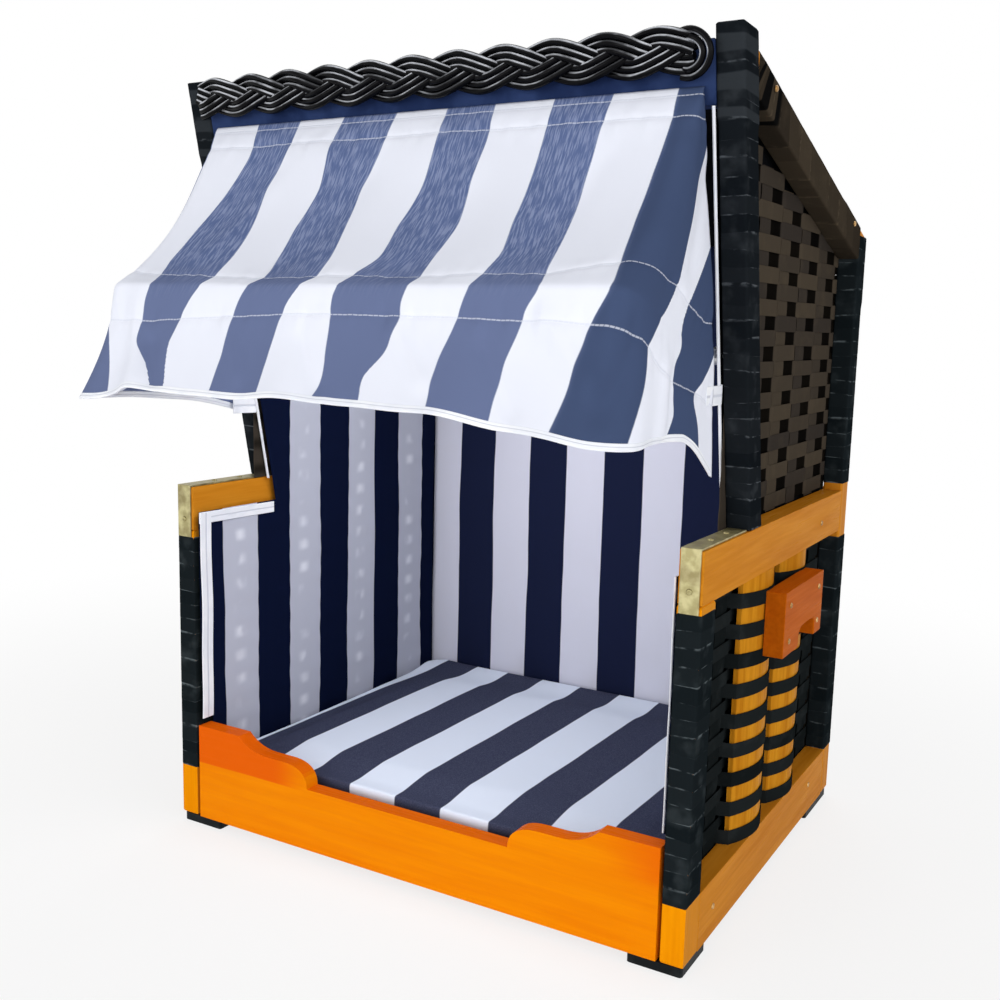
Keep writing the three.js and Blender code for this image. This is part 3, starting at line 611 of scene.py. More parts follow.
@dataclass(frozen=True)
class Wood(Finish):
    """Stained wood with its grain along one axis."""

    name: str
    light: Colour
    dark: Colour
    grain: Axis
    roughness: float = 0.35
    shine: float = 0.005
    edge: Colour | None = None
    edge_height: float = 0
    # painted shade: colour of the faces turned to the sides
    flank_shade: Colour | None = None
    # painted highlight along the board's top front bevel
    rim: Colour = rgb(255, 196, 120)
    crisp_from: Pair = (-0.12, -0.17)
    soft_from: Pair = (0.20, 0.29)

    def grainy(self, paint: Paint, wide: float, along: float, detail: float) -> Value:
        """Noise of some cycles a metre across the grain and fewer along it."""
        return paint.noise(np.where(np.arange(3) == self.grain.value, along, wide), detail)

    def apply(self, paint: Paint) -> None:
        """Streaks and pores along the grain, a board's redder top, painted highlight on its bevel,
        painted shade on flanks.

        Args:
            paint: The material's nodes.
        """
        streak = self.grainy(paint, 70, 5, 4).step(0.3, 0.7)
        line = self.grainy(paint, 260, 12, 3).step(0.35, 0.68)
        pore = self.grainy(paint, 900, 45, 2).step(0.62, 0.74)
        shade = streak * 0.6 + line * 0.4
        colour = paint.mix(shade, self.dark, self.light)
        colour = paint.mix(pore * 0.35, colour, self.dark)
        sideways, backward, up = paint.facing()
        # painted shade on faces turned to the sides
        if self.flank_shade:
            side = abs(sideways).step(0.5, 0.8) * (1 - shade * 0.25)
            colour = paint.mix(side, colour, self.flank_shade)
        if self.edge:
            x, _, z = paint.split("Object")
            level = (self.edge_height + ORIGIN[2] / MM) * MM
            height = z + (paint.noise((6, 6, 20)) - 0.5) * 0.004
            crisp = height.step(level - 0.001, level + 0.001) * x.step(*self.crisp_from)
            soft = height.step(level - 0.010, level + 0.020) * x.step(*self.soft_from) * 0.8
            colour = paint.mix(crisp.math("MAXIMUM", soft), colour, self.edge)
            colour = paint.mix(up.step(0.4, 0.8) * 0.8, colour, self.edge)
            # painted highlight on faces of the top front bevel
            bevel = up.step(0.25, 0.35) * up.step(0.97, 0.93) * backward.step(-0.25, -0.35)
            colour = paint.mix(bevel * 0.5, colour, self.rim)
        paint.dress(
            Base_Color=colour, Roughness=self.roughness - line * 0.08,
            Specular_IOR_Level=self.shine,
        )
        paint.bump(line * 0.5 - pore, 0.12)


@dataclass(frozen=True)
class FlatStrip(Finish):
    """Extruded plastic strip, wound or woven, each turn or strip a little different."""

    name: str
    colour: Colour
    # colour of wear, of random tone and of the painted glints on the lap edges
    wear_and_glint: Colour
    roughness: float
    edge_wear_and_glint: float
    depth_shade: bool = False
    spread: float = 0.1
    banded: Pair | None = None
    band_colour: Colour = (0.12, 0.13, 0.14)
    # painted shade: near black where a strip lies deep in the weave
    painted_shade_colour: Colour = (0.001, 0.001, 0.001)
    painted_shade_from: Pair = (0.2770, 0.2764)

    def apply(self, paint: Paint) -> None:
        """Tone by strip, drawn-out streaks, edge scuffs with painted glints, every second turn
        banded.

        Args:
            paint: The material's nodes.
        """
        _, band, _ = paint.split("UV")
        turn = paint.chance(band)
        streak = paint.noise((500, 500, 30))
        blotch = paint.noise(40)
        # lap edges of each turn: scuffs, and painted glints where the edges meet the light
        edge = abs((band % 1.0) - 0.5).step(0.455, 0.5)
        wear_and_highlight = paint.noise((90, 90, 200), 4).step(0.42, 0.64) * edge * self.edge_wear_and_glint
        wear_and_glint = wear_and_highlight + turn * self.spread + blotch.step(0.5, 0.75) * 0.10
        colour = paint.mix(wear_and_glint, self.colour, self.wear_and_glint)
        if self.banded:
            first, last = self.banded
            among = band.step(first - 0.05, first + 0.05) * band.step(last + 0.05, last - 0.05)
            second = abs((band * 0.5) % 1.0 - 0.5).step(0.22, 0.28)
            colour = paint.mix(among * second, colour, self.band_colour)
        if self.depth_shade:
            # painted shade: strips that sink behind the uprights turn near black
            sunk = abs(paint.split("Object")[0]).step(*self.painted_shade_from)
            colour = paint.mix(sunk * 0.92, colour, self.painted_shade_colour)
        paint.dress(
            Base_Color=colour, Roughness=self.roughness + blotch * 0.18 - turn * 0.08,
            Specular_IOR_Level=0.0,
        )
        paint.bump(streak * 0.6 + blotch * 0.8, 0.25)


@dataclass(frozen=True)
class StripedCloth(Finish):
    """Woven cloth with even navy and white stripes."""

    name: str
    navy: Colour
    white: Colour
    across: Axis
    start: float
    pitch: float
    from_uv: bool = False
    slant: float = 0
    curl: float = 0
    wobble: float = 2.0
    heather: Colour | None = None
    stitches: tuple[float, ...] = ()
    stitch: float = 4.2
    thread: Colour = rgb(222, 226, 240)
    # painted light: soft light spots on the white stripes
    painted_light_spots: Colour | None = None
    painted_light_pitch: float = 28
    # painted shade: darker navy on the awning's lower part and right side
    lower_shaded_navy: Colour | None = None
    side_shaded_navy: Colour | None = None
    lower_shade_from: Pair = (0.17, 0.24)
    side_shade_from: Pair = (0.236, 0.250)
    curl_back: Pair = (0.30, 0.457)
    curl_left: Pair = (-0.10, -0.25)

    def apply(self, paint: Paint) -> None:
        """Stripes from a first white-to-navy edge on, threads, stitch rows, painted light spots and
        shade.

        Args:
            paint: The material's nodes.
        """
        u, v, _ = paint.split("UV")
        x, y, z = paint.split("Object")
        places = (u, v, v) if self.from_uv else (x, y, z)
        run, along = places[self.across.value], places[1 if self.across is Axis.X else 0]
        place = 0 if self.from_uv else ORIGIN[self.across.value]
        drift = paint.noise(7, 2) - 0.5
        run = run + drift * (4 * self.wobble * MM) - along * self.slant
        if self.curl:
            rear = (y - ORIGIN[1]).step(*self.curl_back) * 0.7 + 0.3
            run = run - x.step(*self.curl_left) * rear * (self.curl * MM)
        turn = ((run - (place + self.start * MM)) / (self.pitch * MM) + 0.5) % 2.0
        navy = (0.5 - abs(turn - 1)).step(-0.012, 0.012)
        thread = paint.noise((2600, 2600, 260), 2)
        if self.from_uv:
            speck = paint.noise((520, 60, 1), 3, "UV").step(0.40, 0.66)
        else:
            speck = paint.noise(900).step(0.42, 0.66)
        dark = paint.mix(speck * 0.6, self.navy, self.heather or self.navy)
        # painted shade: the navy darkens down the awning's lower part and on its right side
        if self.lower_shaded_navy and self.side_shaded_navy:
            dark = paint.mix(v.step(*self.lower_shade_from), dark, self.lower_shaded_navy)
            dark = paint.mix(u.step(*self.side_shade_from), dark, self.side_shaded_navy)
        white = self.white
        # painted light: soft spots of light in rows on the white stripes
        if self.painted_light_spots:
            row = abs((z / (self.painted_light_pitch * MM)) % 1.0 - 0.5).step(0.34, 0.06)
            spot = abs((y / (self.pitch * MM * 2)) % 1.0 - 0.135).step(0.12, 0.0)
            patchy = paint.noise((30, 30, 22), 2).step(0.4, 0.6)
            white = paint.mix(row * spot * patchy * 0.8, self.white, self.painted_light_spots)
        colour = paint.mix(navy, white, dark)
        relief = thread * 0.5
        for row_at in self.stitches:
            near = abs(v - row_at * MM)
            dash = abs((u / (self.stitch * MM)) % 1.0 - 0.5).step(0.48, 0.40)
            line = near.step(0.0008, 0.0004)
            colour = paint.mix(line * dash * 0.6, colour, self.thread)
            relief = relief - near.step(0.004, 0.0) * 1.5 + line * dash
        paint.dress(Base_Color=colour, Roughness=0.78 + thread * 0.1, Specular_IOR_Level=0.02)
        paint.bump(relief, 0.35)


@dataclass(frozen=True)
class PlainCloth(Finish):
    """Woven cloth or tape of one colour."""

    name: str
    colour: Colour
    shade: Colour
    roughness: float = 0.75
    # painted shade: darker line along a tape's groove
    groove: Colour | None = None

    def apply(self, paint: Paint) -> None:
        """Fine threads over a faintly uneven colour, and a tape's middle groove with painted shade.

        Args:
            paint: The material's nodes.
        """
        thread = paint.noise(1400, 2)
        colour, relief = paint.mix(paint.noise(25).step(0.4, 0.65), self.colour, self.shade), thread
        if self.groove:
            # painted shade in the groove
            sunk = abs((paint.split("UV")[1] * 4.0) % 1.0 - 0.75).step(0.05, 0.015)
            colour, relief = paint.mix(sunk * 0.8, colour, self.groove), thread - sunk * 2.0
        rough = self.roughness + thread * 0.1
        paint.dress(Base_Color=colour, Roughness=rough, Specular_IOR_Level=0.02)
        paint.bump(relief, 0.3)


@dataclass(frozen=True)
class RoundCord(Finish):
    """Glossy round cord with a painted highlight along the line that stands out most."""

    name: str
    colour: Colour
    # colour of the painted highlight along the crest
    wear_and_highlight: Colour
    roughness: float
    shine: float
    crest: float = 0.62

    def apply(self, paint: Paint) -> None:
        """A painted highlight: a thin light line along the cord, broken up by a slow noise.

        Args:
            paint: The material's nodes.
        """
        drift = paint.noise(45, 2) - 0.5
        round_cord = paint.split("UV")[1] % 1.0
        # painted highlight along the cord's crest
        line = abs(round_cord - (self.crest + drift * 0.16)).step(0.085, 0.015)
        strength = paint.noise(28).step(0.36, 0.60) * 0.85 + 0.1
        colour = paint.mix(line * strength, self.colour, self.wear_and_highlight)
        paint.dress(
            Base_Color=colour, Roughness=self.roughness + drift * 0.1,
            Specular_IOR_Level=self.shine,
        )


@dataclass(frozen=True)
class Plain(Finish):
    """Moulded plastic or metal with small unevenness."""

    name: str
    colour: Colour
    second: Colour
    roughness: float
    metallic: float = 0
    cells: float = 60
    shine: float = 0.5
    stain: Colour | None = None

    def apply(self, paint: Paint) -> None:
        """Blotches between two colours, stains, and a roughness that follows the blotches.

        Args:
            paint: The material's nodes.
        """
        blotch = paint.noise(self.cells, 4).step(0.38, 0.64)
        colour = paint.mix(blotch, self.colour, self.second)
        if self.stain:
            patch = paint.noise(self.cells / 3).step(0.46, 0.6)
            patch = patch.math("MAXIMUM", paint.facing()[2].step(0.4, 0.8))
            colour = paint.mix(patch * 0.4, colour, self.stain)
        paint.dress(
            Base_Color=colour, Roughness=self.roughness + blotch * 0.1, Metallic=self.metallic,
            Specular_IOR_Level=self.shine,
        )
        paint.bump(paint.noise(self.cells * 12, 2), 0.15)


WRAP = FlatStrip("black_wrap", rgb(20, 26, 29), rgb(112, 122, 126), 0.36, 0.6, spread=0.03)
HOOD_WRAP = FlatStrip(
    "black_hood_wrap", rgb(19, 23, 27), rgb(112, 118, 124), 0.33, 0.5, spread=0.04,
    banded=(24.0, 40.0), band_colour=rgb(46, 50, 54),
)
RAIL_WRAP = FlatStrip(
    "brown_rail_wrap", rgb(48, 42, 35), rgb(100, 88, 72), 0.33, 0.3, spread=0.25,
    banded=(0.0, 4.0), band_colour=rgb(14, 14, 14),
)
LOWER_WEAVE = FlatStrip("black_weave", rgb(22, 26, 27), rgb(80, 86, 88), 0.4, 0.2)
# the hood weave gets painted shade where its strips sink
HOOD_WEAVE, PANEL_WEAVE = (
    FlatStrip(name, rgb(54, 49, 45), rgb(98, 86, 68), 0.45, 0.15, depth_shade=deep, spread=0.35)
    for name, deep in (("hood_weave", True), ("panel_weave", False))
)
BACKING = PlainCloth("dark_backing", rgb(10, 11, 14), rgb(16, 17, 20), 0.9)
# the cord's second colour is its painted highlight
CORD = RoundCord("braid_cord", rgb(7, 7, 9), rgb(208, 211, 218), 0.22, 0.06)
FOOT = Plain("foot_plastic", rgb(18, 22, 24), rgb(30, 34, 36), 0.45, shine=0.08)
ZINC = Plain(
    "yellow_zinc", rgb(158, 149, 104), rgb(190, 182, 136), 0.42, 0.7, 110, stain=rgb(104, 86, 52),
)
STEEL = Plain("bright_steel", rgb(168, 172, 178), rgb(205, 207, 210), 0.3, 0.9, 120)
BRASS = Plain("brass_screws", rgb(150, 112, 62), rgb(206, 168, 112), 0.35, 0.8, 200)
# the groove colour is painted shade
TAPE = PlainCloth("white_tape", rgb(238, 241, 249), rgb(248, 250, 255), groove=rgb(206, 209, 222))
RAIL_CLOTH = PlainCloth("navy_rail_cloth", rgb(32, 46, 82), rgb(46, 62, 102))
PLY = Wood("plywood", rgb(200, 158, 104), rgb(166, 122, 74), Axis.X, 0.6)
OAK = {
    axis: Wood(f"oak_{axis.name.lower()}", rgb(214, 140, 40), rgb(196, 120, 24), axis)
    for axis in Axis
}
# the posts' side faces take a darker colour as painted shade
POST = Wood("post_wood", rgb(243, 154, 6), rgb(230, 136, 2), Axis.Z, flank_shade=rgb(208, 134, 32))
BOARD = Wood(
    "board_wood", rgb(243, 142, 3), rgb(234, 126, 1), Axis.X, 0.3, 0.02, rgb(228, 96, 6), 64,
)
SLAT = Wood("slat_wood", rgb(216, 148, 36), rgb(182, 112, 18), Axis.Z)
HANDLE = Wood("handle_wood", rgb(196, 98, 14), rgb(176, 82, 8), Axis.Y)
# The linings' navy, and less so their white, is set far darker than the awning's: painted shade of
# the cabin.
SIDE_CLOTH = StripedCloth(
    "side_lining_cloth", rgb(12, 20, 46), rgb(190, 193, 208), Axis.Y, 95.0, 55.7,
    painted_light_spots=rgb(236, 238, 248), wobble=2.4,
)
# darker navy and white than the awning's, as painted shade of the cabin
BACK_CLOTH = StripedCloth(
    "back_lining_cloth", rgb(26, 32, 58), rgb(216, 217, 232), Axis.X, -227.0, 55.1, wobble=1.8,
)
CUSHION_CLOTH = StripedCloth(
    "cushion_cloth", rgb(58, 62, 84), rgb(230, 238, 254), Axis.X, -255.0, 56.7,
    slant=0.018, curl=15.0, wobble=1.6, heather=rgb(84, 88, 110),
)
# its navy darkens on the lower part and the right side as painted shade
AWNING_CLOTH = StripedCloth(
    "awning_cloth", rgb(92, 108, 150), rgb(236, 239, 250), Axis.X, 15.0, 57.3, from_uv=True,
    heather=rgb(156, 167, 200), stitches=(8.0, 28.0, 206.0, 250.0), wobble=0.4,
    lower_shaded_navy=rgb(104, 116, 152), side_shaded_navy=rgb(66, 80, 112),
)


# Timber and other solids that keep their shape

@dataclass
class Timber:
    """Wooden and moulded solids that stay, with eased edges."""

    edge: float = 1.3
    wrapped_edge: float = 2.2
    board_edge: float = 1.8
    foot_edge: float = 2.6
    plate_edge: float = 0.5
    weld: float = 0.01
    segments: int = 2
    edge_degrees: float = 30

    def dress(self) -> None:
        """Gives every kept solid its finish and its eased edges."""
        paired = (
            ("front_post", POST, self.wrapped_edge), ("rear_post", OAK[Axis.Z], self.wrapped_edge),
            ("hood_front_post", OAK[Axis.Z], self.wrapped_edge),
            ("roof_rail", OAK[Axis.Y], self.wrapped_edge), ("armrest", OAK[Axis.Y], self.edge),
            ("base_rail", OAK[Axis.Y], self.edge), ("seat_bearer", OAK[Axis.Y], self.edge),
            ("side_slat_front", SLAT, self.edge), ("side_slat_rear", SLAT, self.edge),
            ("front_foot", FOOT, self.foot_edge), ("rear_foot", FOOT, self.foot_edge),
            ("carry_handle", HANDLE, self.edge), ("armrest_plate", ZINC, self.plate_edge),
            ("awning_pivot", STEEL, 0),
        )
        single = (
            ("base_rail_rear", OAK[Axis.X], self.edge), ("back_mid_rail", OAK[Axis.X], self.edge),
            ("hood_rear_top_rail", OAK[Axis.X], self.edge), ("front_board", BOARD, self.board_edge),
            ("seat_board", PLY, 0), ("hood_front_top_rail", RAIL_CLOTH, self.edge),
            ("awning_bow", STEEL, 0),
        )
        for name, finish, width in paired:
            for word in SIDES:
                self.ease(f"{name}_{word}", finish, width)
        for name, finish, width in single:
            self.ease(name, finish, width)

    def ease(self, node: str, finish: Finish, width: float) -> None:
        """Covers a solid in a finish and rounds its edges by a width.

        Args:
            node: The solid's name.
            finish: What it is covered in.
            width: Width of the eased edge; 0 leaves it sharp.
        """
        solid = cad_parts[node]
        solid.data.materials.clear()
        solid.data.materials.append(finish.material())
        if width:
            solid.modifiers.new("weld", "WELD").merge_threshold = self.weld * MM
            bevel = solid.modifiers.new("eased_edges", "BEVEL")
            bevel.width, bevel.segments = width * MM, self.segments
            bevel.limit_method, bevel.angle_limit = "ANGLE", math.radians(self.edge_degrees)
            bevel.use_clamp_overlap = True
        LOG.info("%s: finished as %s", node, finish.name)


# Wound strip

@dataclass
class WoundStrip:
    """Flat strip wound round a post or rail, each turn lapping over the last."""

    pitch: float = 15
    wide_pitch: float = 36
    close_turns: int = 4
    lift: float = 0.3
    flat_lift: float = 0.28
    sunk: float = -0.22
    corner: float = 1.9
    skew: float = 1.6
    wide_skew: float = 7
    skew_range: Pair = (0.4, 1.3)
    plump_range: Pair = (0.85, 1.15)
    jitter: float = 0.08
    fan_length: float = 45
    swell_length: float = 80
    swell_ramp: float = 8
    turn_shares: tuple[float, ...] = (0.0, 0.06, 0.5, 0.94)
    lift_shares: tuple[float, ...] = (0.55, 1.1, 1.0, 0.75)
    plate_height: float = 7.5
    rear_gap: float = 8
    rail_gap: float = 2
    rail_level: float = 760

    def sleeve(self, start: Array, end: Array, halves: Pair, depth_axis: Array, seed: int,
               fan: float = 0, swell: float = 0) -> Patch:
        """A closed sleeve between two points.

        Each point of the surface is the path's point at its turn, plus the rounded
        rectangle of the timber, plus a lift that rises sharply at a turn's edge and
        falls towards the next. The turn's place shifts round the timber by a sine.

        Args:
            start: Middle of one end.
            end: Middle of the other end.
            halves: Half the timber's width and depth.
            depth_axis: Direction of its depth.
            seed: Seed of the turns' unevenness.
            fan: How far the first turns lean; where they do, the later ones are wide and flat.
            swell: Extra thickness towards the end.

        Returns:
            The sleeve.
        """
        draw = np.random.default_rng(seed)
        length = float(np.linalg.norm(end - start))
        close = self.close_turns * self.pitch if fan else length
        edges = np.linspace(0, close, max(3, round(close / self.pitch)) + 1)
        if fan:
            wide = np.linspace(close, length, round((length - close) / self.wide_pitch) + 1)
            edges = np.concatenate([edges, wide[1:]])
        turns = len(edges) - 1
        flat = np.diff(edges) > 1.5 * self.pitch
        ring, facing = rounded_rectangle(*(half + CHAIR.clear for half in halves), self.corner)
        round_turn = np.arange(len(ring)) / len(ring) * ROUND
        number = np.repeat(np.arange(turns), len(self.turn_shares))
        share = np.tile(self.turn_shares, turns)
        lift = np.tile(self.lift_shares, turns) * np.where(flat, self.flat_lift, self.lift)[number]
        jitter = draw.uniform(-self.jitter, self.jitter, turns)[number]
        skew = np.where(flat, self.wide_skew, self.skew) * draw.uniform(*self.skew_range, turns)
        phase = draw.uniform(0, ROUND, turns)[number]
        plump = draw.uniform(*self.plump_range, turns)[number]
        place = np.interp(number + share + jitter, np.arange(turns + 1), edges)
        place = place[:, None] + skew[number, None] * np.sin(round_turn + phase[:, None])
        place = place + fan * np.exp(-place / self.fan_length) * ring[:, 1] / halves[1] * self.pitch
        place = np.clip(place, 0, length)
        thicker = length - self.swell_length
        raised = (lift * plump)[:, None] + swell * smooth(thicker, thicker + self.swell_ramp, place)
        inside = np.array([[length], [0.0]]) * np.ones(len(ring))
        place = np.vstack([place, inside])
        raised = np.vstack([raised, np.full(inside.shape, self.sunk)])
        section = ring[None] + facing[None] * raised[..., None]
        points = start + (end - start) * (place / length)[..., None]
        points = points + section[..., :1] * X + section[..., 1:] * depth_axis
        along = np.concatenate([number + share, [turns, 0, 0]])
        around = np.arange(len(ring) + 1) / len(ring) * 2 * (halves[0] + halves[1]) * MM
        uv = np.stack(np.meshgrid(along, around, indexing="ij"), -1)[..., ::-1]
        return grid(points, uv, wrap_rows=True, wrap_columns=True).outward()

    def dress(self) -> None:
        """Winds the ten sleeves, each given by setback and height at both ends."""
        c = CHAIR
        low, plate_low = c.base_rail + c.clear, c.arm_low - self.plate_height - c.clear
        front, rear = c.post_depth / 2, c.rear_face + c.rear_post / 2
        post_low, post_top = c.arm_top + 2 * c.clear, c.hood_top - c.clear
        hood_low, hood_top = (c.hood_front(one) + c.hood_post / 2 for one in (post_low, post_top))
        rear_low, rear_high = c.arm_low - self.rear_gap, c.arm_top + self.rear_gap
        rail = c.roof_rail / math.cos(math.radians(c.fall_degrees))
        rail_front = c.hood_front(self.rail_level) + c.hood_post + self.rail_gap
        rail_rear = c.rear_face - self.rail_gap
        rail_top, rail_end = c.roof(rail_front) - rail / 2, c.roof(rail_rear) - rail / 2
        plans = (
            ("front_post_wrap", (front, low), (front, plate_low), c.post_depth, Y, 0, 0, WRAP),
            ("rear_post_lower_wrap", (rear, low), (rear, rear_low), c.rear_post, Y, 0, 0, WRAP),
            ("rear_post_upper_wrap", (rear, rear_high), (rear, c.rear_top), c.rear_post,
             Y, 0, 0.8, WRAP),
            ("hood_front_post_wrap", (hood_low, post_low), (hood_top, post_top), c.hood_post,
             Y, 0, 0.9, HOOD_WRAP),
            ("roof_rail_wrap", (rail_front, rail_top), (rail_rear, rail_end), rail,
             Z, 1.1, 0.6, RAIL_WRAP),
        )
        for word, side in SIDES.items():
            for order, (name, start, end, depth, axis, fan, swell, finish) in enumerate(plans):
                node, halves = f"{name}_{word}", (c.timber / 2, depth / 2)
                ends = (at(side * (c.half - c.timber / 2), *one) for one in (start, end))
                patch = self.sleeve(*ends, halves, axis, 10 * order + side + 2, fan, swell)
                build(f"{node}_wound", [patch], finish, node, sharp_degrees=55)


# Woven panels

@dataclass
class Weave:
    """Flat strips woven over and under upright ones."""

    strip: float = 13.4
    wide_strip: float = 15.8
    thick: float = 0.9
    upright: float = 31
    upright_pitch: float = 70.4
    front: float = 1.3
    behind: float = 1.5
    lead: float = 18
    steepness: float = 9
    waver: float = 0.5
    sway: float = 0.4
    sway_length: float = 61
    amplitude: float = 2.1
    upright_lift: float = 0.3
    upright_wave: float = 0.25
    row_pitch: float = 14.85
    end_row: float = 7.5
    hood_low: float = 382.45
    hood_rows: int = 23
    hood_first: float = 109.6
    hood_reach: int = 22
    stop_top: float = 655
    stop_strip: float = 13
    stop_inset: float = 2.6
    upright_band: int = 100
    step: float = 3.2
    lower_wave: float = 0.6
    crossing: Pair = (4, 9)
    wrapping: Pair = (1.2, 5)
    lower_low: float = 63
    lower_pitch: float = 14.8
    over_strip: float = 14.6
    lower_uprights: tuple[Pair, ...] = ((45, 75), (102, 132), (239, 258), (366, 396), (412, 442))
    slats: tuple[Pair, ...] = ((145, 235), (262, 348))
    slat_edge: float = 288
    slat_bulge: float = 12
    roof_start: float = 48
    roof_drop: float = 9.6
    roof_short: float = 15
    back_drop: float = 18

    @property
    def middle(self) -> float:
        """Distance of a side panel's middle from the chair's middle."""
        return CHAIR.half - CHAIR.weave_inset - CHAIR.weave_thick / 2

    def panel(self, rows: Sequence[Triple], uprights: Sequence[Triple], origin: Array, along: Array,
              across: Array, out: Array, seed: int) -> list[Patch]:
        """A plain weave in a plane.

        A row's height over the plane is a steep wave: it runs in front of one upright and
        behind the next, changing over past each upright, turned over from row to row.

        Args:
            rows: Place across, start and end of each row.
            uprights: Place along, start and end of each upright.
            origin: Point where both places are 0.
            along: Direction of the rows.
            across: Direction of the uprights.
            out: Direction out of the panel.
            seed: Seed of the strips' unevenness.

        Returns:
            One patch a strip.
        """
        draw = np.random.default_rng(seed)
        widths = self.wide_strip, self.upright
        section, wide = (flat_section(width, self.thick) for width in widths)
        patches = []
        for number, (place, start, end) in enumerate(rows):
            run = self.stations(start, end)
            turn = math.pi * ((run - uprights[0][0] + self.lead) / self.upright_pitch + number)
            wave = np.tanh(self.steepness * np.sin(turn + 0.06 * np.sin(run / 23)))
            lift = np.where(wave > 0, self.front, self.behind) * wave
            drift = draw.uniform(-self.waver, self.waver)
            drift = drift + self.sway * np.sin(run / self.sway_length + draw.uniform(0, 6))
            path = origin + run * along + (place + drift) * across + lift * out
            patches.append(swept(path, across, out, section, number))
        for number, (place, start, end) in enumerate(uprights):
            run = self.stations(start, end)
            turn = math.pi * ((run - rows[0][0]) / self.row_pitch + number)
            lift = self.upright_lift - self.upright_wave * np.cos(turn)
            path = origin + (place + draw.uniform(-1, 1)) * along + run * across + lift * out
            patches.append(swept(path, along, out, wide, self.upright_band + number))
        return patches

    def stations(self, start: float, end: float) -> Array:
        """Distances from start to end at even steps, as a column."""
        return np.linspace(start, end, max(8, int((end - start) / self.step)))[:, None]

    def lower_side(self) -> list[Patch]:
        """The right lower panel, whose rows pass over or behind the slats by turns.

        Returns:
            One patch a strip.
        """
        c = CHAIR
        run = np.linspace(c.post_depth + c.wrap + 1, c.rear_face - c.wrap - 1, 220)
        patches = []
        for number, height in enumerate(np.arange(self.lower_low, c.arm_low - 6, self.lower_pitch)):
            over = number % 2 == 0
            section = flat_section(self.over_strip if over else self.strip, self.thick)
            lift = np.zeros(len(run))
            wider, ramp = self.crossing
            for low, high in self.lower_uprights:
                passed = window(run, low - wider, high + wider, ramp)
                lift += (-1 if over else 1) * self.amplitude * passed
            outward = self.middle + lift
            wider, ramp = self.wrapping
            for low, high in self.slats if over else ():
                share = np.clip((run - low) / (high - low), 0, 1)
                face = self.slat_edge + 4 * self.slat_bulge * share * (1 - share)
                wrapped = window(run, low - wider, high + wider, ramp)
                outward = outward + (face + self.thick - outward) * wrapped
            path = at(outward, run, height + 0.4 * np.sin(run / 47 + number))
            out = np.cross(unit(np.gradient(path, axis=0)), Z)
            patches.append(swept(path, Z, out, section, number))
        run_up = np.linspace(c.base_rail + 1, c.arm_low - 1, 60)
        turn = math.pi * (run_up - self.lower_low) / self.lower_pitch
        lift = self.lower_wave * np.cos(turn)
        for number, (low, high) in enumerate(self.lower_uprights):
            path = at(self.middle + lift, (low + high) / 2, run_up)
            section = flat_section(high - low, self.thick)
            patches.append(swept(path, Y, X, section, self.upright_band + number))
        return patches

    def hood_side(self) -> list[Patch]:
        """The right hood panel, whose rows end in steps below the roof rail.

        The rows in front of an upright end at the next upright's edge, one row lower for
        each upright. A narrow upright closes the panel at the rear post.

        Returns:
            One patch a strip.
        """
        c = CHAIR
        end = c.rear_face - c.wrap - 1
        rows, tops = [], {}
        for number in range(self.hood_rows):
            height = self.hood_low + self.row_pitch * number
            start = c.hood_front(height) + c.hood_post + c.wrap + 1
            edge = self.hood_first - self.lead + self.upright_pitch * (self.hood_reach + 1 - number)
            rows.append((height, start, min(end, edge)))
            tops[self.hood_reach - number] = height + self.wide_strip / 2 + 1
        places = self.hood_first + self.upright_pitch * np.arange(5)
        uprights = [(place, c.arm_top + 1, tops[number]) for number, place in enumerate(places)]
        patches = self.panel(rows, uprights, self.middle * X, Y, Z, X, 31)
        # the stop strip sits deep enough for that painted shade to make it near black
        section, place = flat_section(self.stop_strip, self.thick), end - self.stop_strip / 2 + 3
        stop = at(self.middle - self.stop_inset, place, [c.arm_top + 1, self.stop_top])
        return [*patches, swept(stop, Y, X, section, self.upright_band + 20)]

    def across_panel(self, low: float, high: float, origin: Array, upward: Array, out: Array,
                     seed: int) -> list[Patch]:
        """A panel between the two sides, as at the back and in the roof.

        Args:
            low: Start of the uprights.
            high: Their end.
            origin: Point in the middle where they are 0.
            upward: Direction of the uprights.
            out: Direction out of the panel.
            seed: Seed of the unevenness.

        Returns:
            One patch a strip.
        """
        reach = CHAIR.half - CHAIR.timber - CHAIR.wrap - 1
        count = round((high - low - 2 * self.end_row) / self.row_pitch) + 1
        places = np.linspace(low + self.end_row, high - self.end_row, count)
        rows = [(place, -reach, reach) for place in places]
        uprights = [(place, low, high) for place in self.upright_pitch * np.arange(-3.5, 4)]
        return self.panel(rows, uprights, origin, X, upward, out, seed)

    def dress(self) -> None:
        """Weaves the six panels."""
        c = CHAIR
        lower, hood = self.lower_side(), self.hood_side()
        for word, side in SIDES.items():
            for name, made, finish in (("lower", lower, LOWER_WEAVE), ("hood", hood, HOOD_WEAVE)):
                node = f"{name}_side_weave_{word}"
                patches = [patch.mirrored(side) for patch in made]
                build(f"{node}_strips", patches, finish, node)
        back = c.back_wall + c.lining_thick + c.clear + c.weave_thick / 2
        angle = math.radians(c.fall_degrees)
        slope = at(0, math.cos(angle), -math.sin(angle))
        outward = at(0, math.sin(angle), math.cos(angle))
        start, end = self.roof_start, c.depth - self.roof_short
        corner = at(0, start, c.roof(start, self.roof_drop))
        length = (end - start) / math.cos(angle)
        wall = self.across_panel(c.seat_top + 1, c.roof(back, self.back_drop), back * Y, Z, Y, 41)
        roof = self.across_panel(2, length, corner, slope, outward, 43)
        build("back_weave_strips", wall, PANEL_WEAVE, "back_weave")
        build("roof_weave_strips", roof, PANEL_WEAVE, "roof_weave")


# Cloth linings

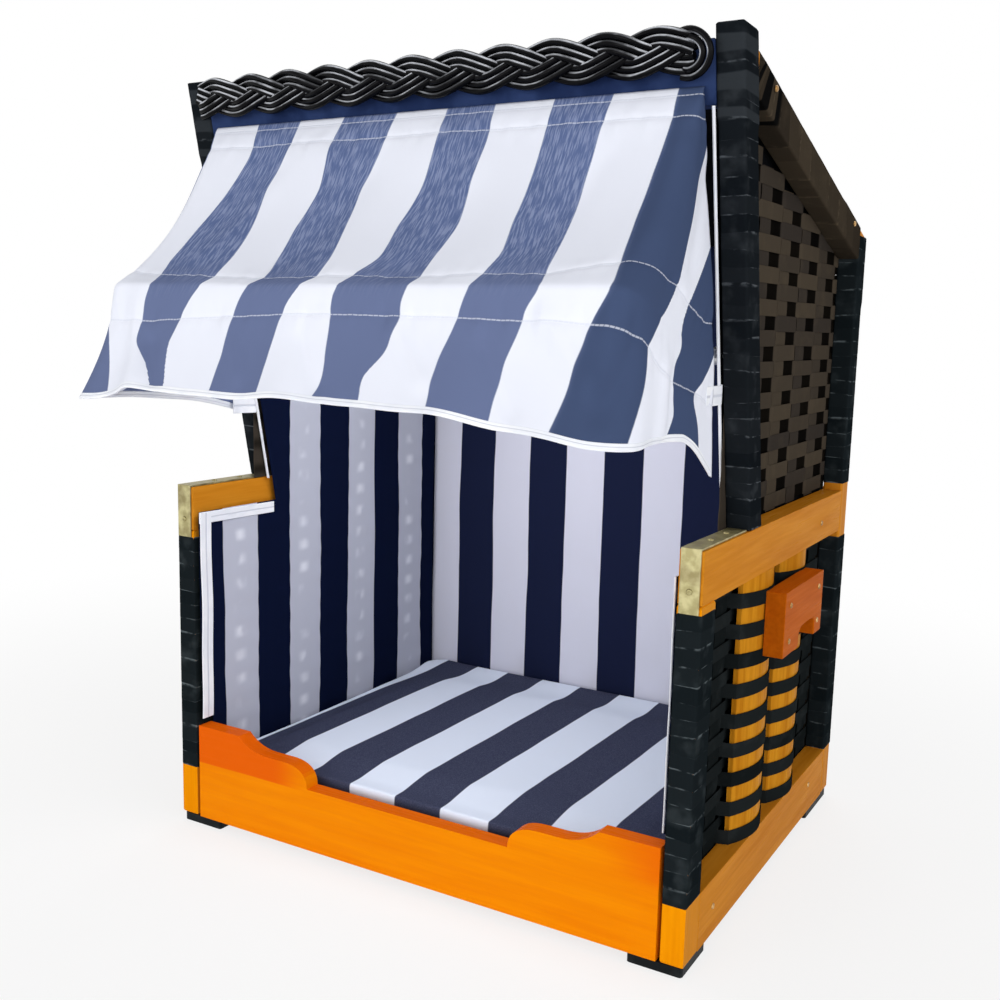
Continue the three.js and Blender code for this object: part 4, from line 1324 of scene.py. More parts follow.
@dataclass
class Lining:
    """Cloth on the inside of the cabin, with tape and piping on its edges."""

    fronts: dict[int, float] = field(default_factory=lambda: {-1: 3.0, 1: 14.0})
    shelf: float = 345
    top: float = 733
    over_board: float = 7
    overlap: float = 3
    tape: float = 16
    tape_thick: float = 1.6
    shelf_tape: float = 12.5
    shelf_tape_end: float = 120
    piping: float = 1.5
    relief: float = 0.7
    cloth: float = 0.6
    side_ripples: Triple = (150, 210, 330)
    wall_ripples: tuple[float, ...] = (130, 190, 280, 400)
    press_height: float = 28.8
    press_width: float = 68
    press_start: float = 12
    tape_bow: float = 1.4
    tape_waver: float = 0.5
    ceiling_start: float = 54
    side_drop: float = 15.2
    wall_drop: float = 16
    ceiling_drop: float = 15.4
    side_width: float = 0.455
    back_flat: Pair = (0.542, 0.616)
    roof_flat: Pair = (0.542, 0.424)

    def side(self, side: int) -> list[Patch]:
        """One side wall: a lower panel to the armrest's edge and an upper one behind the post.

        Args:
            side: 1 at the right, -1 at the left.

        Returns:
            The two patches.
        """
        c = CHAIR
        rear = c.back_wall + 0.6
        low, over = c.seat_top + 1, c.board_height + self.over_board
        shelf, tall = self.shelf, self.top - self.shelf
        start_up, top_front = (c.hood_front(one) + self.overlap for one in (shelf, self.top))
        levels = np.concatenate([np.linspace(low, over, 15), np.linspace(over + 0.2, shelf, 40)])
        levels = levels[:, None]
        begin = np.where(levels <= over, c.board_thick + 1.0, self.fronts[side])
        across, rise = np.linspace(0, 1, 60), np.linspace(0, 1, 70)[:, None]
        back = start_up + (rear - start_up) * across
        front = begin + (start_up - begin) * np.linspace(0, 1, 22)
        lower_y = np.hstack([front, np.repeat(back[None, 1:], len(levels), 0)])
        top_y = top_front + (rear - top_front) * across
        top_z = np.where(top_y < top_front + 16, self.top, c.roof(top_y, self.side_drop))
        upper_z = shelf + (top_z - shelf) * rise
        upper_y = back + (top_y - back) * np.minimum(1, (upper_z - shelf) / tall)
        return [self.pressed(side, lower_y, levels), self.pressed(side, upper_y, upper_z)]

    def pressed(self, side: int, y: Array, z: Array) -> Patch:
        """A part of a side wall, given by its setbacks and heights, pressed in by the weave.

        Args:
            side: 1 at the right, -1 at the left.
            y: Setbacks.
            z: Heights.

        Returns:
            The patch, facing the cabin.
        """
        y, z = np.broadcast_arrays(y, z)
        rows = np.cos(ROUND * z / self.press_height)
        press = rows * np.cos(math.pi * (y - self.press_start) / self.press_width)
        swell = 0.5 * press + 0.8 * ripples(y, z, self.side_ripples, 5 + side)
        edge = window(z, CHAIR.seat_top + 30, 700, 25)
        x = side * (CHAIR.cabin + 0.4 - self.relief * edge * (1 + swell))
        patch = grid(at(x, y, z), np.stack([y, z], -1) * MM)
        return patch.flipped() if side > 0 else patch

    def wall(self) -> Patch:
        """The back wall.

        Returns:
            The patch.
        """
        c = CHAIR
        half = c.cabin - 0.5
        top = c.roof(c.back_wall, self.wall_drop)
        x, z = np.meshgrid(np.linspace(-half, half, 90), np.linspace(c.seat_top + 1, top, 100))
        swell = 0.6 * ripples(x, z, self.wall_ripples, 12)
        y = c.back_wall + 0.2 - self.relief * (1 + swell) * window(z, 80, 600, 40)
        return grid(at(x, y, z), np.stack([x, z], -1) * MM)

    def ceiling(self) -> Patch:
        """The cloth under the roof.

        Returns:
            The patch.
        """
        half = CHAIR.cabin - 0.5
        setbacks = np.linspace(self.ceiling_start, CHAIR.back_wall + 0.6, 60)
        x, y = np.meshgrid(np.linspace(-half, half, 60), setbacks)
        return grid(at(x, y, CHAIR.roof(y, self.ceiling_drop)), np.stack([x, y], -1) * MM)

    def edges(self, side: int) -> list[Patch]:
        """Tape down the front edge and along the armrest, and piping up the hood post.

        Args:
            side: 1 at the right, -1 at the left.

        Returns:
            The tapes and the piping.
        """
        c = CHAIR
        inner = side * (c.cabin - self.tape_thick)
        low, begin = c.board_height + self.over_board + 1, self.fronts[side]
        z = np.linspace(low, self.shelf - 1, 50)
        bow = self.tape_bow * np.sin(math.pi * (z - low) / (self.shelf - low))
        bow = bow + self.tape_waver * np.sin(z / 17)
        front = at(inner, begin + self.tape / 2 - 1 + bow, z)
        y = np.linspace(begin - 1, self.shelf_tape_end, 40)
        shelf = at(inner + side * 0.3, y, self.shelf - self.shelf_tape / 2 - y * 0.014)
        edge = np.linspace(self.shelf + 26, self.top, 60)
        cord = at(side * (c.half - c.timber - c.wrap - 2.4), c.hood_front(edge) - 0.8, edge)
        return [
            swept(front, Y, X, flat_section(self.tape, self.tape_thick)),
            swept(shelf, Z, X, flat_section(self.shelf_tape, self.tape_thick)),
            swept(cord, X, Y, round_section(self.piping)),
        ]

    def dress(self) -> None:
        """Hangs the four linings and sews on their edges."""
        for word, side in SIDES.items():
            name = f"side_lining_{word}"
            wall = build(f"{name}_cloth", self.side(side), SIDE_CLOTH, name)
            wall.modifiers.new("joined", "WELD").merge_threshold = 0.02 * MM
            thicken(wall, self.cloth, BACKING)
            edging = build(f"{name}_edging", self.edges(side), TAPE)
            sheet_area(wall)
        back, roof = ("back", self.wall(), self.back_flat), ("roof", self.ceiling(), self.roof_flat)
        for name, patch, flat in (back, roof):
            node = f"{name}_lining"
            cloth = build(f"{node}_cloth", [patch], BACK_CLOTH, node)
            thicken(cloth, self.cloth, BACKING)


# Seat cushion

@dataclass
class Cushion:
    """Loose seat pad, blown up a little by a cloth simulation."""

    half_width: float = 267
    front: float = 22
    rear: float = 457
    low: float = 38.2
    high: float = 66
    corner: float = 22
    voxel: float = 6
    frames: int = 20
    pressure: float = 4
    most: float = 10.5
    edge_top: float = 71.2
    rear_rise: float = 5.3
    room: tuple[Pair, ...] = ((-270.2, 270.2), (18.8, 459.8), (37.5, 77.0))
    insets: tuple[float, ...] = (120, 40, 8, 2, 0)
    heights: tuple[float, ...] = (0, 0, 0, 0, 0.08, 0.3, 0.7, 0.92, 1, 1, 1, 1)
    crown: float = 1.6
    crown_wave: float = 0.9
    crown_ripples: Triple = (120, 170, 95)
    open_half: float = 215
    open_ramp: float = 34
    open_front: Pair = (26, 110)
    open_rear: Pair = (355, 430)
    rear_from: Pair = (380, 448)
    side_push: float = 4
    side_push_from: Pair = (246, 264)
    rear_push: float = 4.5
    rear_push_from: Pair = (432, 454)
    front_push: float = 5.5
    front_push_from: Pair = (22, 48)

    def start_shape(self) -> Patch:
        """A rounded slab: rounded rectangles drawn in towards the middle, below and above.

        Returns:
            The slab.
        """
        middle, deep = (self.front + self.rear) / 2, (self.rear - self.front) / 2
        inset = [deep - self.corner - 1, *self.insets]
        rings = []
        for pulled, share in zip(inset + inset[::-1], self.heights):
            ring, _ = rounded_rectangle(self.half_width - pulled, deep - pulled, self.corner, 6, 24)
            height = self.low + (self.high - self.low) * share
            rings.append(at(ring[:, 0], ring[:, 1] + middle, height))
        return closed(np.stack(rings), np.zeros((len(rings), len(ring) + 1, 2)))

    def simulate(self, pad: bpy.types.Object) -> None:
        """Remeshes the slab evenly, blows it up and keeps the result in its room.

        Args:
            pad: The cushion's object.
        """
        remesh = pad.modifiers.new("even_mesh", "REMESH")
        remesh.mode, remesh.voxel_size = "VOXEL", self.voxel * MM
        self._bake(pad)
        rest = self._points(pad)
        cloth = pad.modifiers.new("blown_up", "CLOTH")
        cloth.settings.use_pressure = True
        cloth.settings.uniform_pressure_force = self.pressure
        cloth.settings.effector_weights.gravity = 0
        cloth.point_cache.frame_end = self.frames
        for number in range(1, self.frames + 1):
            bpy.context.scene.frame_set(number)
        self._bake(pad)
        bpy.context.scene.frame_set(1)
        move = self._points(pad) - rest
        size = np.linalg.norm(move, axis=1)[:, None]
        blown = rest + move * np.minimum(1, self.most * MM / np.maximum(size, 1e-9))
        low, high = (in_frame(np.array(corner)) for corner in zip(*self.room))
        blown = self._crown(np.clip(blown, low, high))
        pad.data.vertices.foreach_set("co", np.clip(blown, low, high).ravel())
        pad.data.update()
        pad.data.shade_smooth()

    def _crown(self, points: Array) -> Array:
        """Fills the top out to the walls, and adds low waves that die out at its edges.

        Args:
            points: The blown-up mesh's points in metres.

        Returns:
            The points moved.
        """
        local = (points - ORIGIN) / MM
        x, y, z = local.T
        inside = smooth(52, 62, z) * window(x, -235, 235, 30) * window(y, 95, 430, 60)
        wave = ripples(x, y * 0.4, self.crown_ripples, 8)
        local[:, 2] += inside * (self.crown + self.crown_wave * wave)
        middle = window(x, -self.open_half, self.open_half, self.open_ramp)
        middle = middle * smooth(*self.open_front, y) * (1 - smooth(*self.open_rear, y))
        rim = smooth(50, 61, z) * (1 - middle)
        local[:, 2] += rim * (self.edge_top + self.rear_rise * smooth(*self.rear_from, y) - z)
        high = smooth(48, 60, z)
        rear, front = smooth(*self.rear_push_from, y), 1 - smooth(*self.front_push_from, y)
        local[:, 1] += high * (self.rear_push * rear - self.front_push * front)
        outer = smooth(*self.side_push_from, np.abs(x))
        local[:, 0] += high * np.sign(x) * self.side_push * outer
        return local * MM + ORIGIN

    @staticmethod
    def _points(pad: bpy.types.Object) -> Array:
        """The mesh's points in metres.

        Args:
            pad: The cushion's object.

        Returns:
            Points, one a row.
        """
        points = np.zeros(len(pad.data.vertices) * 3)
        pad.data.vertices.foreach_get("co", points)
        return points.reshape(-1, 3)

    @staticmethod
    def _bake(pad: bpy.types.Object) -> None:
        """Replaces the mesh by what its modifiers make of it.

        Args:
            pad: The cushion's object.
        """
        graph = bpy.context.evaluated_depsgraph_get()
        made = bpy.data.meshes.new_from_object(pad.evaluated_get(graph))
        pad.modifiers.clear()
        pad.data = made

    def dress(self) -> None:
        """Makes the cushion."""
        pad = build("seat_cushion_pad", [self.start_shape()], CUSHION_CLOTH,
                    "seat_cushion", ride=False)
        self.simulate(pad)
        pad.data.materials.clear()
        pad.data.materials.append(CUSHION_CLOTH.material())
        finer = pad.modifiers.new("finer", "SUBSURF")
        finer.levels = finer.render_levels = 1
        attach(pad, "cushion")


# Awning

@dataclass
class Awning:
    """Cloth from the hood's front rail over the bow to a loose hem, with wings at the sides."""

    top: float = 748
    top_half: float = 267
    bow_half: float = 276.5
    hem_half: float = 288
    bow_setback: float = -107.9
    bow_height: float = 581.6
    hem_setback: float = -157
    hem_height: float = 485
    sag: float = 21
    sag_skew: float = 1.25
    flare: float = 7
    corners: Triple = (12, 20, 42)
    sleeve_droop: float = 39
    hem_droop: Pair = (22, 32)
    corner_droop: float = 12
    top_gap: float = 5
    post_gap: Pair = (5, 24)
    hem_post_gap: Pair = (16, 60)
    hem_wave: float = 2.5
    top_wave: float = 1.8
    top_ripples: Triple = (90, 130, 190)
    pucker: float = 0.55
    pucker_lengths: tuple[float, ...] = (13, 17, 23, 31)
    pucker_spreads: tuple[float, ...] = (9, 16, 13, 15)
    groove: float = 0.7
    groove_width: float = 3.5
    sleeve_puff: float = 1.6
    sleeve_width: float = 14
    columns: int = 300
    rows: int = 150
    cloth: float = 0.7
    binding: float = 6.5
    binding_thick: float = 2.4
    strap: float = 17
    strap_thick: float = 1.2
    strap_heights: dict[str, float] = field(default_factory=lambda: {"left": 456.0, "right": 497.0})
    strap_lengths: dict[str, float] = field(default_factory=lambda: {"left": 30.0, "right": 56.0})
    hem_line: tuple[Pair, ...] = (
        (-240, 0), (-168, -2), (-60, -1), (26, -3), (90, 0), (130, 2), (185, 7), (262, 9), (300, 8),
        (351, 3), (390, 0), (430, 5), (470, 13), (500, 16),
    )
    first_seam: tuple[Pair, ...] = (
        (-400, 181), (-221, 202), (-150, 208), (84, 207), (192, 204), (250, 190), (313, 180),
        (400, 202),
    )
    second_seam: tuple[Pair, ...] = (
        (-389, 273), (-327, 266), (-290, 250), (-215, 257), (-111, 251), (-50, 247), (290, 246),
        (327, 266), (389, 273),
    )
    edge_levels: tuple[float, ...] = (0, 35, 85, 135, 180, 207, 222, 236, 250, 280, 303, 330)
    edge_offsets: tuple[tuple[float, ...], ...] = (
        (6, 4, 2, 0, -1, -2, -3, -4, -4, 16, 32, 51),
        (4, 11, 9, 6, 4, 2, 2, 1, 0, 19, 31, 44),
        (4, 10, 0, -12, -15, -6, -3, -5, -2, 1, 25, 46),
        (2, 2, -4, 4, 10, 10, 4, -6, -13, -17, -9, 3),
        (0, -4, 4, -2, 4, 12, 3, -4, -8, -5, -5, -1),
        (5, 2, -7, 2, 13, 15, 6, -5, -11, -11, -8, -2),
        (4, 5, 7, 1, 8, -5, -12, -15, -13, -8, -1, -3),
        (-2, 1, 0, 8, 4, 7, 4, -1, 2, -4, -19, -11),
        (1, 1, 2, 5, 14, 9, 5, 0, -2, -9, -8, -2),
        (0, -3, -5, -1, 4, 7, 13, 1, -1, -9, -9, -6),
        (1, 2, 0, 1, 6, 11, 14, 4, -2, -5, -8, -12),
        (-2, -7, -9, -2, 12, 12, 10, 1, -7, -6, -8, -10),
        (6, 3, -1, -6, -13, -12, -4, -2, -12, -4, 8, 2),
        (9, 11, 15, 19, 22, 24, 25, 13, 0, -25, -4, 12),
        (7, 7, 7, 7, 7, 7, 7, 7, 7, 7, 7, 7),
    )
    first_edge: int = -6
    folds: tuple[tuple[float, ...], ...] = (
        (-235, 222, -190, 336, 5.0, 11), (-205, 262, -160, 330, -3.5, 9),
        (-120, 250, -70, 322, 2.6, 9), (-30, 262, 20, 330, -2.4, 8),
        (60, 252, 122, 318, 3.0, 9), (150, 262, 205, 330, -2.4, 8),
        (196, 238, 262, 300, 4.0, 10), (286, 232, 262, 322, -4.5, 10),
        (322, 236, 352, 316, 4.5, 11), (-150, 60, -190, 190, 2.4, 16),
        (-40, 50, -85, 195, -2.0, 18), (70, 45, 35, 200, 2.0, 18),
        (200, 40, 160, 190, -2.2, 18), (262, 30, 268, 195, 3.2, 10),
        (300, 60, 330, 190, -3.0, 14),
    )

    def profile(self) -> tuple[Array, Array]:
        """The section down the middle.

        Returns:
            Distance down the cloth, and rows of setback, height, share to the bow, share below it.
        """
        upper, lower = np.linspace(0, 1, 120), np.linspace(0, 1, 60)[1:]
        start = CHAIR.hood_front(self.top) - CHAIR.clear - 1.2
        bulge = self.sag * np.sin(math.pi * upper ** self.sag_skew)
        flare = self.flare * np.sin(math.pi * lower)
        y = np.concatenate([
            start + (self.bow_setback - start) * upper + bulge,
            self.bow_setback + (self.hem_setback - self.bow_setback) * lower + flare,
        ])
        z = np.concatenate([
            self.top + (self.bow_height - self.top) * upper,
            self.bow_height + (self.hem_height - self.bow_height) * lower,
        ])
        down = np.concatenate([[0], np.cumsum(np.hypot(np.diff(y), np.diff(z)))])
        shares = np.pad(upper, (0, len(lower)), constant_values=1), np.pad(lower, (len(upper), 0))
        return down, np.stack([y, z, *shares])

    def surface(self) -> tuple[Array, Array]:
        """Points of the cloth and its flat coordinates.

        Round the chair, a level's line runs along the front, round a corner arc and
        back along the wing. Its height droops along the wing. Relief is added along
        the surface's normal: puckers at the seams, folds, waves and a round sleeve.

        Returns:
            Points, rows by columns by 3, and flat coordinates, rows by columns by 2.
        """
        length, line = self.profile()
        down = np.linspace(0, length[-1], self.rows)[:, None]
        y, z, upper, lower = (np.interp(down, length, one) for one in line)
        stage = upper + lower
        half = np.interp(stage, [0, 1, 2], [self.top_half, self.bow_half, self.hem_half])
        radius = np.interp(stage, [0, 1, 2], self.corners)
        round_share = np.linspace(-1, 1, self.columns)[None]
        bow_gap, hem_gap, hem_droop = (
            np.where(round_share > 0, right, left)
            for left, right in (self.post_gap, self.hem_post_gap, self.hem_droop)
        )
        gap = self.top_gap + (bow_gap - self.top_gap) * upper ** 2 + (hem_gap - bow_gap) * lower
        end_droop = self.sleeve_droop * upper * (1 - lower) + hem_droop * lower
        rear = CHAIR.hood_front(z - end_droop) - gap
        radius = np.minimum(radius, np.maximum(rear - y, 0.5) / 2)
        flat, quarter = half - radius, radius * math.pi / 2
        round_cloth = round_share * (flat + quarter + np.maximum(rear - y - radius, 0))
        size = np.abs(round_cloth)
        angle = np.clip((size - flat) / radius, 0, math.pi / 2)
        x = np.sign(round_cloth) * (np.minimum(size, flat) + radius * np.sin(angle))
        setback = y + radius * (1 - np.cos(angle)) + np.maximum(size - flat - quarter, 0)
        back = np.clip((setback - y) / np.maximum(rear - y, 1), 0, 1)
        sleeve = self.sleeve_droop * upper ** 1.6 * (1 - (1 - back) ** 2.5)
        hem = hem_droop * back ** 3 + self.corner_droop * smooth(180, 300, size)
        hem = hem + np.interp(round_cloth, *zip(*self.hem_line))
        points = at(x, setback, z - sleeve * (1 - lower) - hem * lower)
        print_run, print_down = self.printed(round_cloth, np.broadcast_to(down, round_cloth.shape))
        relief = self.relief(round_cloth, print_down, lower)
        uv = np.stack([print_run, print_down], -1) * MM
        return points + self.normals(points) * relief[..., None], uv

    def printed(self, run: Array, down: Array) -> tuple[Array, Array]:
        """Where each point lies in the flat cloth's own stripes and seams.

        A stripe edge's run is its even place plus an offset that changes down the
        cloth. Between two edges, and between two seams, the coordinates go evenly.

        Args:
            run: Distance round the cloth from its middle, rows by columns.
            down: Distance down the cloth.

        Returns:
            The same two distances in a cloth whose stripes and seams are straight.
        """
        numbers = self.first_edge + np.arange(len(self.edge_offsets))
        even = AWNING_CLOTH.start + AWNING_CLOTH.pitch * numbers
        far = np.array([even[0] - 300, *even, even[-1] + 200])
        bell = np.exp(-np.linspace(-2, 2, 15) ** 2)
        level, levels = down[:, 0], self.edge_levels
        shifts = np.array([np.interp(level, levels, one) for one in self.edge_offsets])
        padded = np.pad(shifts, ((1, 1), (7, 7)), mode="edge")
        shifts = np.array([np.convolve(one, bell / bell.sum(), "valid") for one in padded])
        straight = np.array([
            np.interp(one, far + shift, far, left=far[0], right=far[-1])
            for one, shift in zip(run, shifts.T)
        ])
        seams = self.first_seam, self.second_seam
        first, second = (np.interp(run, *zip(*seam)) for seam in seams)
        lift_first = AWNING_CLOTH.stitches[2] - first
        lift_second = AWNING_CLOTH.stitches[3] - second
        to_first = np.clip((down - 40) / (first - 40), 0, 1)
        to_second = np.clip((down - first) / (second - first), 0, 1)
        return straight, down + lift_first * to_first + (lift_second - lift_first) * to_second

    @staticmethod
    def normals(points: Array) -> Array:
        """Outward unit normals of a grid of points."""
        normal = np.cross(np.gradient(points, axis=1), np.gradient(points, axis=0))
        return -normal / np.maximum(np.linalg.norm(normal, axis=2), 1e-9)[..., None]

    def relief(self, run: Array, down: Array, lower: Array) -> Array:
        """Height of puckers, folds, waves and the sleeve over the plain surface.

        Args:
            run: Distance round the cloth.
            down: Distance down it.
            lower: Share of the way from the bow to the hem.

        Returns:
            The height at each point.
        """
        def ridge(away: Array, width: float) -> Array:
            """A bell over a distance."""
            return np.exp(-(away / width) ** 2)

        draw = np.random.default_rng(4)
        total = np.zeros(run.shape)
        stitches = AWNING_CLOTH.stitches
        for row_at, spread in zip(stitches, self.pucker_spreads):
            away = down - row_at
            pucker = ripples(run, down * 0.3, self.pucker_lengths, int(draw.integers(1000)))
            total += self.pucker * pucker * ridge(away, spread)
            total -= self.groove * ridge(away, self.groove_width)
        sleeve = (stitches[2] + stitches[3]) / 2
        total += self.sleeve_puff * ridge(down - sleeve, self.sleeve_width)
        soft = ripples(run, down * 0.5, self.top_ripples, 17)
        total += self.top_wave * soft * window(down, 50, 190, 40)
        wave = np.cos(ROUND * (run + 25) / 148) + 0.5 * np.cos(ROUND * (run - 60) / 83)
        total += self.hem_wave * lower ** 1.7 * wave
        for s0, d0, s1, d1, tall, wide in self.folds:
            along = np.array([s1 - s0, d1 - d0])
            share = ((run - s0) * along[0] + (down - d0) * along[1]) / (along @ along)
            away = np.hypot(run - s0 - share * along[0], down - d0 - share * along[1])
            total += tall * ridge(away, wide) * window(share, 0.2, 0.8, 0.25)
        return total * (0.25 + 0.75 * smooth(0, 26, down))

    def hem(self, points: Array) -> Patch:
        """The white binding round the hem.

        Args:
            points: The cloth's points, rows by columns by 3.

        Returns:
            The binding.
        """
        down = unit(points[-1] - points[-3])[1:-1]
        out = self.normals(points[-4:])[-1][1:-1]
        middle = points[-1][1:-1] - down * (self.binding / 2 - 1)
        return swept(middle, down, out, flat_section(self.binding, self.binding_thick))

    def dress(self) -> None:
        """Hangs the cloth, binds its hem and adds a strap at each side."""
        points, uv = self.surface()
        end = in_frame(at(0, self.bow_setback, self.bow_height))
        cloth = build("awning_cloth_sheet", [grid(points, uv)], AWNING_CLOTH,
                      "awning_cloth", ride=False)
        thicken(cloth, self.cloth)
        hem = build("awning_hem_binding", [self.hem(points)], TAPE, ride=False)
        for piece in (cloth, hem):
            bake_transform(piece)
        sheet_area(cloth)
        for word, side in SIDES.items():
            level = self.strap_heights[word]
            post = CHAIR.hood_front(level)
            loose = post - self.strap_lengths[word]
            y = np.linspace(loose, post - CHAIR.wrap + 1, 16)
            path = at(side * (282 - 6 * smooth(post - 20, post, y)), y, level)
            tape = swept(path, Z, X, flat_section(self.strap, self.strap_thick))
            node = f"awning_strap_{word}"
            strap = build(f"{node}_tape", [tape], TAPE, node, ride=False)
            in_frame(at(0, post - 2, level))
            in_frame(at(0, loose, level))
            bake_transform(strap)


# Braid

@dataclass
class Braid:
    """Flat braid of three strands, each of three round cords side by side."""

    start: float = -277
    end: float = 262
    middle: float = 775
    rail_half: float = 8
    period: float = 146
    swing: float = 11.2
    depth: float = 3.9
    cord: float = 2.95
    spacing: float = 5.9
    loop_radii: Pair = (18.4, 12.6)
    loop_drop: float = 3.2
    loop_turn: float = 0.62

    @property
    def across(self) -> Array:
        """Direction up the leaning rail."""
        lean = math.atan(CHAIR.lean)
        return at(0, -math.sin(lean), math.cos(lean))

    @property
    def out(self) -> Array:
        """Direction out of the rail."""
        return np.cross(X, self.across)

    def laid(self, run: Array, rise: Array, lift: Array, band: float) -> Patch:
        """A round cord on the rail.

        Args:
            run: Distance along the rail of each point.
            rise: Distance up it from the braid's middle.
            lift: Distance out of it.
            band: Number of the cord.

        Returns:
            The cord.
        """
        reach = self.rail_half / self.across[2] + CHAIR.wrap + CHAIR.clear
        path = at(run, CHAIR.hood_front(self.middle) - reach, self.middle)
        path = path + rise[:, None] * self.across + lift[:, None] * self.out
        tangent = unit(np.gradient(path, axis=0))
        first = unit(np.cross(tangent, self.out))
        return swept(path, first, np.cross(tangent, first), round_section(self.cord), band)

    def strand(self, number: int) -> list[Patch]:
        """One strand: it swings up and down by a sine, and out and in by one twice as fast.

        Args:
            number: Place of the strand in the braid, from 0.

        Returns:
            Its three cords.
        """
        run = np.linspace(self.start, self.end, 230)
        turn = ROUND * (run / self.period + number / 3)
        lift = -self.depth * np.sin(2 * turn) - 5 * smooth(self.end - 20, self.end - 3, run)
        slope = self.swing * ROUND / self.period * np.cos(turn)
        scale = np.sqrt(1 + slope ** 2)
        return [
            self.laid(run - offset * slope / scale, self.swing * np.sin(turn) + offset / scale,
                      np.maximum(lift, -4.8), order)
            for order, offset in enumerate((-self.spacing, 0, self.spacing))
        ]

    def loops(self) -> list[Patch]:
        """Cords that turn back in a half ring at the right end.

        Returns:
            The cords.
        """
        angle = math.pi * self.loop_turn * np.linspace(-1, 1, 40)
        lift = 1.6 - 6 * smooth(math.pi * 0.36, math.pi * 0.6, abs(angle))
        return [
            self.laid(self.end - 6 + radius * 1.1 * np.cos(angle),
                      radius * np.sin(angle) - self.loop_drop, lift, order)
            for order, radius in enumerate(self.loop_radii)
        ]

    def dress(self) -> None:
        """Lays the braid on the front rail."""
        strands = [patch for number in range(3) for patch in self.strand(number)]
        build("hood_braid_cords", strands + self.loops(), CORD, "hood_braid",
              sharp_degrees=70)


# Screws and rivets

@dataclass
class Fasteners:
    """Heads of screws and rivets."""

    radius: float = 2.9
    tall: float = 1.2
    sides: int = 12
    profile: tuple[Pair, ...] = (
        (1.0, -0.5), (0.98, 0.35), (0.8, 0.85), (0.5, 1.0), (0.34, 0.95), (0.26, 0.45), (0.05, 0.4),
    )
    handle_out: float = 20.4
    timber_out: float = 0.1
    rail_out: float = 0.8
    rivet_height: float = 337
    rivet_setbacks: Pair = (44, 84)
    rivet_out: float = 2.2

    def head(self, place: Sequence[float], out: Array) -> Patch:
        """A domed head with a dimple: a profile turned round its axis.

        Args:
            place: Middle of its foot.
            out: Direction that it faces.

        Returns:
            The head.
        """
        share, level = (np.array(one)[:, None, None] for one in zip(*self.profile))
        first = unit(np.cross(out, [0.3, 0.5, 0.8]))
        circle = round_section(1, self.sides)
        ring = circle[:, :1] * first + circle[:, 1:] * np.cross(out, first)
        points = np.array(place, float) + self.radius * share * ring[None] + self.tall * level * out
        return closed(points, np.zeros((len(share), self.sides + 1, 2)))

    def dress(self) -> None:
        """Drives the screws and rivets of both sides."""
        c = CHAIR
        handle, timber = c.half + self.handle_out, c.half + self.timber_out
        rail = c.half + c.wrap + self.rail_out
        places = (
            *((handle, y, z) for y in (196, 298) for z in (290, 254)),
            (timber, 71, 28), (timber, 391, 34), (timber, 372, 345),
            (rail, 112, 758), (rail, 419, 672),
        )
        rivets, screws = [], []
        for side in SIDES.values():
            screws += [self.head([side * x, y, z], side * X) for x, y, z in places]
            middle = side * (c.half - c.timber / 2)
            rivets.append(self.head([middle, -self.rivet_out, self.rivet_height], -Y))
            top = c.arm_top + self.rivet_out
            rivets += [self.head([middle, y, top], Z) for y in self.rivet_setbacks]
        build("frame_screws", screws, BRASS)
        build("plate_rivets", rivets, ZINC)


# Camera, light and floor

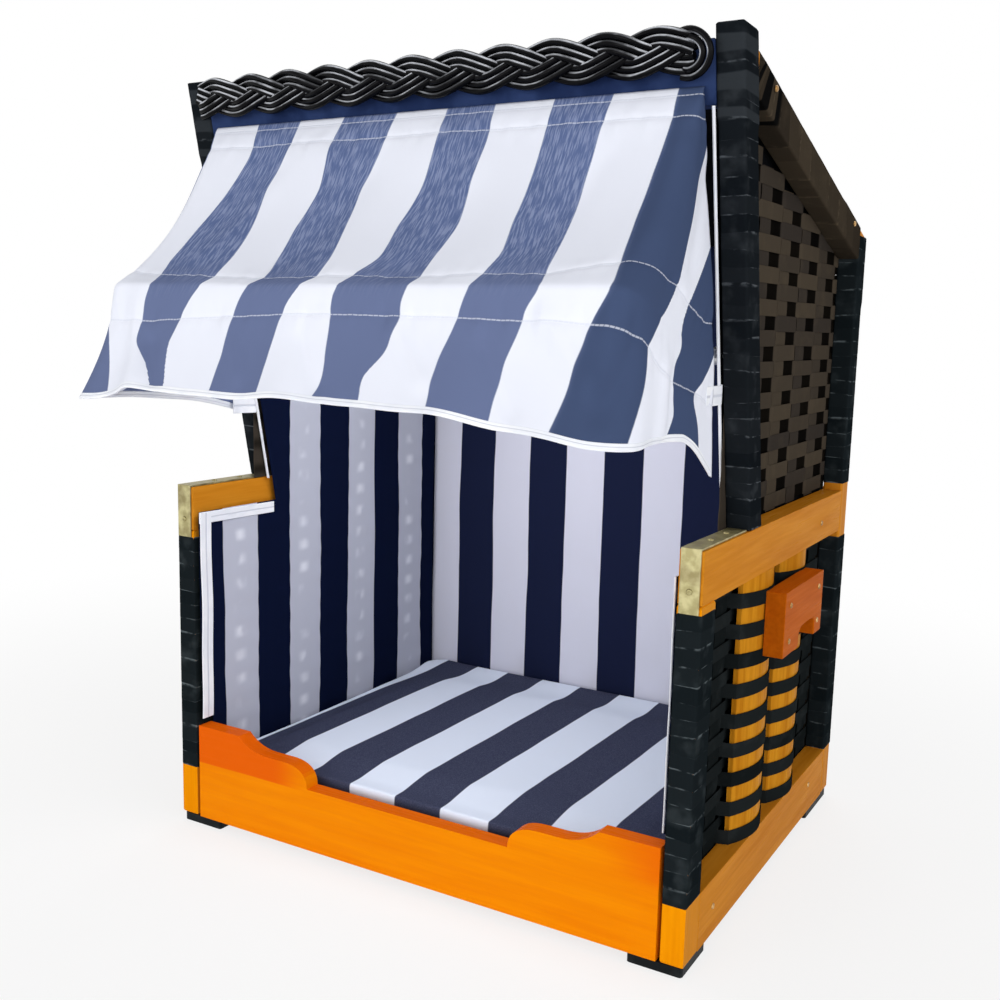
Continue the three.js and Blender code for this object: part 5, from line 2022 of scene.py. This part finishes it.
@dataclass
class Studio:
    """The camera at the photograph's angle, soft lamps and a pale floor."""

    focal_pixels: float = 1138.9
    picture: float = 1000
    sensor: float = 36
    place: Triple = (614.7, -881.7, 551.7)
    yaw: float = 30.08
    pitch: float = 8.69
    roll: float = 1.43
    ambient: float = 0.5
    lamps: tuple[tuple[Triple, float, float], ...] = (
        ((-0.8, -2.7, 0.6), 2.0, 26.0), ((1.5, -2.2, 0.7), 1.4, 12.0),
        ((2.6, -1.1, 1.2), 1.4, 16.0), ((-0.2, 1.9, 2.4), 1.8, 15.0),
        ((0.0, -0.04, 0.61), 0.36, 1.4),
    )
    aim: Triple = (0.0, -0.05, 0.38)
    cabin_aim: Triple = (0.0, 0.14, 0.07)
    floor_half: float = 12
    shadow: float = 0.22
    shadow_from: Pair = (0.5, 1.6)

    def camera(self) -> None:
        """Makes the camera."""
        yaw, pitch, roll = (math.radians(angle) for angle in (self.yaw, self.pitch, self.roll))
        far, fall = math.cos(pitch), -math.sin(pitch)
        forward = Vector((-math.sin(yaw) * far, math.cos(yaw) * far, fall))
        level = Vector((math.cos(yaw), math.sin(yaw), 0))
        upright = level.cross(forward)
        right = math.cos(roll) * level + math.sin(roll) * upright
        up = -math.sin(roll) * level + math.cos(roll) * upright
        data = bpy.data.cameras.new("camera")
        data.sensor_width = self.sensor
        data.lens = self.focal_pixels / self.picture * self.sensor
        camera = bpy.data.objects.new("camera", data)
        turned = Matrix((right, up, -forward)).transposed()
        camera.matrix_world = Matrix.Translation(in_frame(np.array(self.place))) @ turned.to_4x4()
        bpy.context.scene.collection.objects.link(camera)
        bpy.context.scene.camera = camera

    def lights(self) -> None:
        """Hangs the lamps and lights the world evenly."""
        for number, (place, size, power) in enumerate(self.lamps):
            data = bpy.data.lights.new(f"lamp_{number}", "AREA")
            data.shape, data.size, data.energy = "DISK", size, power
            lamp = bpy.data.objects.new(f"lamp_{number}", data)
            inside = size < 0.5
            lamp.location, lamp.visible_camera = place, not inside
            look = Vector(self.cabin_aim if inside else self.aim) - Vector(place)
            lamp.rotation_euler = look.to_track_quat("-Z", "Y").to_euler()
            bpy.context.scene.collection.objects.link(lamp)
        world = bpy.context.scene.world = bpy.data.worlds.new("world")
        paint = Paint(world)
        dim, bright = paint.tree.nodes["Background"], paint.node("Background", {"Color": (1, 1, 1)})
        paint.feed(dim.inputs["Color"], (1, 1, 1))
        paint.feed(dim.inputs["Strength"], self.ambient)
        paint.surface(paint.rays_seen(), dim, bright)

    def floor(self) -> None:
        """Lays a pale floor that shows near white and keeps a faint shadow."""
        material = bpy.data.materials.new("pale_floor")
        paint = Paint(material)
        paint.dress(Base_Color=(0.9, 0.9, 0.9), Roughness=0.9)
        shine = paint.node("Emission", {"Color": (1, 1, 1), "Strength": 1.0})
        x, y, _ = paint.split("Object")
        away = (x * x + y * y).math("SQRT").step(*self.shadow_from)
        pale = away * self.shadow + (1 - self.shadow)
        paint.surface(paint.rays_seen() * pale, paint.shader, shine)
        mesh = bpy.data.meshes.new("floor")
        corners = self.floor_half * np.array([[-1, -1, 0], [1, -1, 0], [1, 1, 0], [-1, 1, 0]])
        mesh.from_pydata(corners.tolist(), [], [(0, 1, 2, 3)])
        mesh.materials.append(material)
        floor = bpy.data.objects.new("floor", mesh)
        bpy.context.scene.collection.objects.link(floor)

    def dress(self) -> None:
        """Lights the scene and lays the floor."""
        self.lights()
        self.floor()
        bpy.context.scene.view_settings.view_transform = "Standard"


def main() -> None:
    """Builds the pieces in order."""
    studio = Studio()
    studio.camera()
    makers = (Timber, WoundStrip, Weave, Lining, Cushion, Awning, Braid, Fasteners)
    for part in (*(maker() for maker in makers), studio):
        part.dress()
        LOG.info("%s done", type(part).__name__)
    bpy.context.view_layer.update()


if __name__ == "__main__":
    logging.basicConfig(level=logging.INFO, format="%(message)s")
    main()
